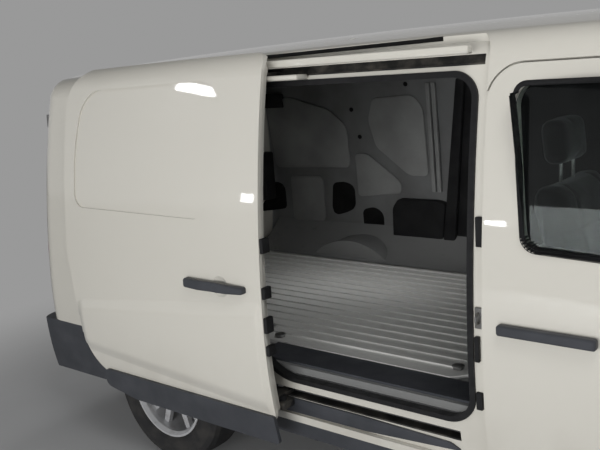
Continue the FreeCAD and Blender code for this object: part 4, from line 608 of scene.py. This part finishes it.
# Black moulded cover over the filler neck at the foot of the wall, the black lining that
# runs from the slanted pillar trim forward to the cab, and the load lamp's box by the roof.
lining, lining_shader, lining_place = finish("black_lining", roughness=0.7)
feed(lining_shader,
     base_color=lining_place.noise(9.0, 5.0).between(0.3, 0.7).blend((0.010, 0.010, 0.011, 1),
                                                                     (0.018, 0.018, 0.019, 1)),
     normal=lining_place.noise(700.0, 2.0).bump(0.3, 0.0005))
LININGS = (
    # name, corners as forward and height, rounding, how far it stands off the wall
    ("filler_cover", ((-1.35, 0.62), (-1.03, 0.62), (-1.00, 0.92), (-1.05, 0.935), (-1.31, 0.935),
                      (-1.35, 0.88)), 0.02, -0.05),
    ("pillar_trim", ((-1.03, 0.62), (-0.955, 0.62), (-0.83, 1.62), (-0.88, 1.62)), 0.012, -0.045),
    ("cab_lining", ((-0.96, 0.62), (-0.06, 0.62), (-0.06, 1.64), (-0.84, 1.64)), 0.02, -0.016),
)
for name, corners, rounding, inward in LININGS:
    cover = outlined(name, corners, rounding, inward, 0.004, edge=0.008)
    on_wall(cover, lining)
lamp_box = outlined("load_lamp", ((-2.29, 1.50), (-2.10, 1.49), (-2.10, 1.58), (-2.29, 1.59)), 0.012, -0.03,
                    0.004, edge=0.005)
on_wall(lamp_box, lining)

# Roof bows: pressed steel channels across the roof, glued under its skin. Each one
# follows the roof's curve.
ROOF_INSIDE = 1.735
BOW_HEAD = 1.7195
# The bows take the inner pressings' dark grey, painted shade under the roof.
for index, forward in enumerate((-2.02, -1.50, -0.98, -0.46, 0.30)):
    bow = rod("roof_bow_%d" % index, (forward - 0.03, -0.66, 1.70), (forward + 0.03, 0.66, 1.72), 0.005)
    divide(9)
    for vertex in bow.data.vertices:
        start = Vector((vertex.co.x, vertex.co.y, 1.2))
        hit, place, _normal, _index = nodes["roof"].ray_cast(start, Vector((0, 0, 1)))
        vertex.co.z += (place.z if hit else ROOF_INSIDE) - BOW_HEAD
    dress(bow, inner)

# Lashing rings in the load floor: zinc-plated wire loops on small pressed plates,
# riveted through.
LASHINGS = ((-0.20, -0.62), (-1.02, -0.655), (-2.1, -0.62), (-0.2, 0.62), (-1.02, 0.655), (-2.1, 0.62))


def hoop(name, radius, thickness, place, turn=(0, 0, 0)):
    """A loop bent from plated wire."""
    bpy.ops.object.select_all(action="DESELECT")
    bpy.ops.mesh.primitive_torus_add(major_radius=radius, minor_radius=thickness, major_segments=28,
                                     minor_segments=8, location=place, rotation=turn)
    piece = bpy.context.object
    piece.name = name
    bpy.ops.object.transform_apply(location=True, rotation=True, scale=True)
    dress(piece, plated)


for index, (forward, across) in enumerate(LASHINGS):
    hoop("lashing_ring_%d" % index, 0.020, 0.0035, (forward, across, 0.6155))
    foot = rod("lashing_foot_%d" % index, (forward - 0.016, across - 0.012, 0.602),
               (forward + 0.016, across + 0.012, 0.6195), 0.003)
    bpy.ops.object.shade_smooth()
    dress(foot, plated)

# Hardware on the pillar between the side opening and the front door: contact plate, striker
# loop on its plate, rubber buffer and lower guide, each screwed to the pillar's face.
STRIKER_FORWARD, STRIKER_HEIGHT = 0.027, 0.920
HARDWARE = (
    # name, rear, front, foot, head, how far it stands out
    ("contact_plate", 0.016, 0.040, 1.145, 1.240, 0.010),
    ("striker_plate", 0.014, 0.040, 0.885, 0.955, 0.007),
    ("pillar_buffer", 0.014, 0.030, 0.775, 0.860, 0.014),
    ("lower_guide", 0.012, 0.034, 0.610, 0.670, 0.012),
)
for name, rear, front, foot, head, proud in HARDWARE:
    skin = skin_at("side_right", (rear + front) / 2, (foot + head) / 2, RIGHT)
    piece = rod(name, (rear, skin + 0.002, foot), (front, skin - proud, head), 0.003)
    if name == "striker_plate":
        dress(piece, plated)
    else:
        dress(piece, rubber)
skin = skin_at("side_right", STRIKER_FORWARD, STRIKER_HEIGHT, RIGHT)
hoop("striker_loop", 0.016, 0.0045, (STRIKER_FORWARD, skin - 0.010, STRIKER_HEIGHT), (0, math.radians(90), 0))
bpy.ops.object.shade_smooth()

# Front door windows: a black rubber channel round each pane, pressed into the frame with
# its lip on the door skin.
WINDOW = ((0.168, 1.146), (0.121, 1.644), (0.568, 1.644), (1.057, 1.186), (1.061, 1.106))


def rimmed(name, corners, rounding, width, low, high, steps=6):
    """A ring of a given width inside a rounded outline, facing across the van."""
    piece = flat_outline(name, corners, low, "Y")
    bpy.ops.object.mode_set(mode="EDIT")
    bpy.ops.mesh.select_all(action="SELECT")
    bpy.ops.mesh.bevel(offset=rounding, offset_type="OFFSET", segments=steps, affect="VERTICES")
    bpy.ops.mesh.inset(thickness=width)
    bpy.ops.mesh.delete(type="FACE")
    bpy.ops.mesh.select_all(action="SELECT")
    bpy.ops.mesh.extrude_region_move(TRANSFORM_OT_translate={"value": (0, high - low, 0)})
    bpy.ops.mesh.select_all(action="SELECT")
    bpy.ops.mesh.subdivide(number_cuts=1)
    bpy.ops.mesh.normals_make_consistent(inside=False)
    bpy.ops.object.mode_set(mode="OBJECT")
    round_edges(piece, THIN_EDGE, 2)
    bpy.ops.object.shade_smooth_by_angle(angle=SMOOTH_ANGLE)
    return piece


for word, side in (("left", LEFT), ("right", RIGHT)):
    body = "front_door_" + word
    channel = rimmed("window_channel_" + word, WINDOW, 0.045, 0.016, -0.003, 0.0025)
    laid_on(channel, body, side)
    dress(channel, rubber, body)

# Foot of the load space's walls: a pressed floor side slopes down from each wall to the
# ribbed plate, painted with the wall and sealed to it, drawn in the inner pressings' dark grey painted shade.
FLOOR_TOP = 0.6105
FLOOR_EDGE = 0.555
SLOPE_RISE = 0.15
for word, side, start, end in (("left", LEFT, -2.26, -0.12), ("right", RIGHT, -2.26, -1.12)):
    bpy.ops.object.select_all(action="DESELECT")
    bpy.ops.mesh.primitive_grid_add(x_subdivisions=80, y_subdivisions=8, size=1)
    slope = bpy.context.object
    slope.name = "floor_side_" + word
    for vertex in slope.data.vertices:
        forward = start + (vertex.co.x + 0.5) * (end - start)
        share = vertex.co.y + 0.5
        across = FLOOR_EDGE + (wall_at(forward, 0.60 + 0.16 * share) - 0.558) * share
        vertex.co = (forward, side * across, FLOOR_TOP + SLOPE_RISE * share * share)
    if side == RIGHT:
        turn_over()
    bpy.ops.object.shade_smooth()
    dress(slope, inner)

# Seats: foam pads in dark woven cloth. Each pad is filled by the cloth simulation, then the
# sewn channels are drawn in, and the headrests stand on steel posts.
# The cloth is drawn near black: partly its own dark tone, partly painted shade of the cab.
weave, weave_shader, weave_place = finish("seat_weave", roughness=0.95, sheen_weight=0.3)
threads = weave_place.noise(900.0, 1.0)
feed(weave_shader,
     base_color=weave_place.noise(14.0, 4.0).between(0.3, 0.7).blend((0.010, 0.0105, 0.012, 1),
                                                                     (0.017, 0.018, 0.020, 1)),
     normal=threads.bump(0.5, 0.0006))
coat_node(weave, "seats")
PAD_CELL = 0.012
PAD_SWELL = 0.022
FILLING_PRESSURE = 4.0
FILLING_FRAMES = 20
SEAM_DEPTH = 0.008
SEAM_WIDTH = 0.009
SEAT_MIDDLE = 0.39


def stuffed(name, size, rounding):
    """A foam pad at the origin: a rounded block swollen by its filling."""
    pad = rod(name, [-part / 2 for part in size], [part / 2 for part in size], rounding, 4)
    skin = pad.modifiers.new("skin", "REMESH")
    skin.mode = "VOXEL"
    skin.voxel_size = PAD_CELL
    bpy.ops.object.modifier_apply(modifier="skin")
    start = [vertex.co.copy() for vertex in pad.data.vertices]
    filled = pad.modifiers.new("filling", "CLOTH")
    filled.settings.use_pressure = True
    filled.settings.uniform_pressure_force = FILLING_PRESSURE
    filled.settings.effector_weights.gravity = 0.0
    for moment in range(1, FILLING_FRAMES + 1):
        bpy.context.scene.frame_set(moment)
    swollen = pad.evaluated_get(bpy.context.evaluated_depsgraph_get())
    places = [vertex.co.copy() for vertex in swollen.data.vertices]
    pad.modifiers.remove(filled)
    bpy.context.scene.frame_set(1)
    for vertex, first, last in zip(pad.data.vertices, start, places):
        move = last - first
        if move.length > PAD_SWELL:
            move *= PAD_SWELL / move.length
        vertex.co = first + move
    finer = pad.modifiers.new("finer", "SUBSURF")
    finer.levels = 1
    bpy.ops.object.modifier_apply(modifier="finer")
    return pad


def sewn(pad, axis, seams):
    """Draw seams into the pad's outer face; each seam is a coordinate and its value."""
    for vertex in pad.data.vertices:
        if vertex.normal[axis] < 0.2:
            continue
        for along, value in seams:
            away = abs(vertex.co[along] - value)
            vertex.co[axis] -= SEAM_DEPTH * math.exp(-(away / SEAM_WIDTH) ** 2)


def set_pad(pad, lean, place):
    """Lean a pad back and put it in its place, in its mesh."""
    turn = Matrix.Translation(Vector(place)) @ Matrix.Rotation(math.radians(lean), 4, "Y")
    pad.data.transform(turn)
    for polygon in pad.data.polygons:
        polygon.use_smooth = True
    dress(pad, weave)


PADS = (
    # name, size, rounding, axis of the face that shows, seams, lean, forward and height
    ("cushion", (0.492, 0.452, 0.104), 0.030, 2, ((1, -0.135), (1, 0.135), (0, -0.05)), -4.0, (0.412, 0.668)),
    ("backrest", (0.096, 0.450, 0.570), 0.032, 0, ((1, -0.130), (1, 0.130), (2, 0.10), (2, -0.12)), -10.0,
     (0.170, 1.025)),
    ("headrest", (0.084, 0.240, 0.150), 0.030, 0, (), -6.0, (0.112, 1.422)),
)
pads = []
for name, size, rounding, axis, seams, lean, (forward, height) in PADS:
    first = stuffed("seat_" + name + "_right", size, rounding)
    sewn(first, axis, seams)
    second = first.copy()
    second.data = first.data.copy()
    second.name = "seat_" + name + "_left"
    bpy.context.collection.objects.link(second)
    set_pad(first, lean, (forward, RIGHT * SEAT_MIDDLE, height))
    set_pad(second, lean, (forward, LEFT * SEAT_MIDDLE, height))
    pads += [first, second]
for pad in pads:
    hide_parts("seats")
for word, middle in (("right", RIGHT * SEAT_MIDDLE), ("left", LEFT * SEAT_MIDDLE)):
    for index, across in enumerate((middle - 0.06, middle + 0.06)):
        post = rod("headrest_post_%s_%d" % (word, index), (0.115, across - 0.006, 1.27),
                   (0.127, across + 0.006, 1.38), 0.005)
        dress(post, plated)

# Channel over the side entry: a near-black strip painted as the shade in the slot under the roof
# edge, and a painted steel beam that carries the upper rail, with the cover of the sliding door's arm
# running out of it.


def on_right_side(name, corners, rounding, low, high, material):
    """A black strip laid on the right side's skin."""
    piece = laid_on(outlined(name, corners, rounding, low, high), "side_right", RIGHT)
    dress(piece, material)


on_right_side("roof_slot", ((-1.06, 1.764), (-0.139, 1.776), (-0.139, 1.791), (-1.06, 1.779)), 0.0, -0.001,
              0.0012, painted_void_shade)
beam = rod("upper_beam", (-1.06, -0.862, 1.731), (-0.012, -0.826, 1.757), 0.005)
dress(beam, paint)
arm = rod("upper_arm_cover", (-0.815, -0.885, 1.684), (-0.655, -0.815, 1.703), 0.007)
dress(arm, paint)

# Lower rail: a black moulded cover strip under the slot in the sill, the roller arm's steel
# bracket bolted behind it, and two rubber guide rollers.
ROLLERS = ((-0.885, 0.515), (-0.80, 0.478))


def drum(name, sides, radius, depth, place, turn=(0, 0, 0)):
    """A prism or a cylinder round its own axis."""
    bpy.ops.object.select_all(action="DESELECT")
    bpy.ops.mesh.primitive_cylinder_add(vertices=sides, radius=radius, depth=depth, location=place,
                                        rotation=turn)
    piece = bpy.context.object
    piece.name = name
    bpy.ops.object.transform_apply(location=True, rotation=True, scale=True)
    return piece


on_right_side("lower_rail_cover", ((-0.99, 0.415), (-0.45, 0.405), (-0.06, 0.432), (-0.10, 0.455),
                                   (-0.45, 0.466), (-0.99, 0.466)), 0.01, -0.002, 0.010, grained)
bracket = rod("roller_bracket", (-0.930, -0.955, 0.440), (-0.770, -0.885, 0.470), 0.006)
dress(bracket, chassis)
for index, (forward, height) in enumerate(ROLLERS):
    roller = drum("guide_roller_%d" % index, 28, 0.017, 0.022, (forward, -0.925, height))
    bpy.ops.object.shade_smooth_by_angle(angle=SMOOTH_ANGLE)
    dress(roller, rubber)

# Wheel nuts: five zinc-plated steel nuts on each rim, turned home in a ring round the
# hub, so they turn with the wheel.
NUTS = 5
NUT_RING = 0.054
RIM_FACE = 0.80
AXLE_HEIGHT = 0.326
FRONT_AXLE, REAR_AXLE = 1.565, -1.535
WHEELS = (("front_left", LEFT, FRONT_AXLE), ("front_right", RIGHT, FRONT_AXLE),
          ("rear_left", LEFT, REAR_AXLE), ("rear_right", RIGHT, REAR_AXLE))
for corner, side, forward in WHEELS:
    face = skin_at("rim_" + corner, forward + NUT_RING, AXLE_HEIGHT, side)
    face = side * RIM_FACE if face is None else face
    for index in range(NUTS):
        angle = math.radians(360 / NUTS * index)
        place = (forward + NUT_RING * math.cos(angle), face + side * 0.006,
                 AXLE_HEIGHT + NUT_RING * math.sin(angle))
        nut = drum("nut_%s_%d" % (corner, index), 6, 0.011, 0.024, place, (math.radians(90), 0, 0))
        dress(nut, plated, "wheel_" + corner)

# Rear doors: a blank plate and a grained pull handle screwed to the left one, and a raised
# field pressed into each. The front bumper carries the same blank plate.
DOOR_SPLIT = -0.12
TAIL_FACE = -2.42


def tail_at(across, height):
    """X of the rear doors' outer face."""
    name = "rear_door_left" if across > DOOR_SPLIT else "rear_door_right"
    hit, place, _normal, _index = nodes[name].ray_cast(Vector((-3, across, height)), Vector((1, 0, 0)))
    return place.x if hit else TAIL_FACE


def on_tail(name, corners, rounding, low, high, material, body):
    """A piece modelled flat and laid on the rear doors' face."""
    piece = outlined(name, corners, rounding, low, high, facing="X")
    for vertex in piece.data.vertices:
        vertex.co.x = tail_at(vertex.co.y, vertex.co.z) - vertex.co.x
    turn_over()
    dress(piece, material, body)


number, number_shader, number_place = finish("blank_plate", roughness=0.35, coat_weight=0.3)
feed(number_shader,
     base_color=number_place.noise(8.0).between(0.3, 0.7).blend((0.55, 0.55, 0.53, 1), (0.60, 0.60, 0.58, 1)))
on_tail("rear_plate", ((0.05, 0.74), (0.57, 0.74), (0.57, 0.85), (0.05, 0.85)), 0.008, 0.001, 0.005, number,
        "rear_door_left")
on_tail("rear_handle", ((-0.10, 1.00), (0.14, 1.00), (0.14, 1.045), (-0.10, 1.045)), 0.015, -0.002, 0.026,
        grained, "rear_door_left")
on_tail("rear_crease", ((-0.10, 1.175), (0.68, 1.165), (0.68, 1.60), (-0.10, 1.62)), 0.06, -0.002, 0.004,
        paint, "rear_door_left")
on_tail("rear_crease_right", ((-0.68, 1.165), (-0.16, 1.175), (-0.16, 1.62), (-0.68, 1.60)), 0.06, -0.002,
        0.004, paint, "rear_door_right")
front_plate = rod("front_plate", (2.44, -0.26, 0.42), (2.468, 0.26, 0.53), 0.004)
dress(front_plate, number)

# Grille bars: five black moulded slats across the opening, clipped in behind the edge
# of its frame.
SLAT_HALF = 0.006
for index, height in enumerate((0.672, 0.706, 0.740, 0.774, 0.808)):
    slat = rod("grille_slat_%d" % index, (2.39, -0.435, height - SLAT_HALF),
               (2.437, 0.435, height + SLAT_HALF), 0.004)
    dress(slat, grained)

# Mirror glass: a silvered pane with rounded corners, clipped into the back of each
# mirror housing, so it swings with its front door.
for word, side in (("left", LEFT), ("right", RIGHT)):
    corners = ((side * 0.955, 1.105), (side * 1.065, 1.105), (side * 1.065, 1.275), (side * 0.955, 1.275))
    pane = outlined("mirror_pane_" + word, corners, 0.018, 0.906, 0.9105, facing="X")
    dress(pane, silver, "front_door_" + word)

# Backs of the rear lamps, seen from the load space: black moulded housings, screwed to
# the rear pillars.
for word, side in (("left", LEFT), ("right", RIGHT)):
    housing = rod("lamp_housing_" + word, (-2.275, side * 0.70, 0.90), (-2.225, side * 0.80, 1.21), 0.012)
    dress(housing, lining)

# Wipers: a rubber blade on a black arm each, parked along the foot of the windscreen and
# held on their spindles by the scuttle.
SCREEN_FOOT = 1.5
WIPER_DEPTH = 0.012
WIPER_ENDS = ((-0.60, 0.02), (0.05, 0.60))
WIPER_PARTS = (
    # name, height, how tall, how far off the glass, rise along it, finish, slot
    ("blade", 1.150, 0.010, 0.002, 0.05, rubber, "rubber"),
    ("arm", 1.135, 0.014, 0.018, 0.03, grained, "black_plastic"),
)


def screen_at(across, height):
    """X of the windscreen's outer face."""
    start = Vector((3, across, height))
    hit, place, _normal, _index = nodes["windscreen"].ray_cast(start, Vector((-1, 0, 0)))
    return place.x if hit else SCREEN_FOOT


for index, (near, far) in enumerate(WIPER_ENDS):
    for word, height, tall, proud, rise, material, slot in WIPER_PARTS:
        wiper = rod("wiper_%s_%d" % (word, index), (proud, near, height),
                    (proud + WIPER_DEPTH, far, height + tall), 0.003)
        divide(6)
        for vertex in wiper.data.vertices:
            vertex.co.z += rise * (vertex.co.y - near)
            vertex.co.x += screen_at(vertex.co.y, vertex.co.z)
        dress(wiper, material)
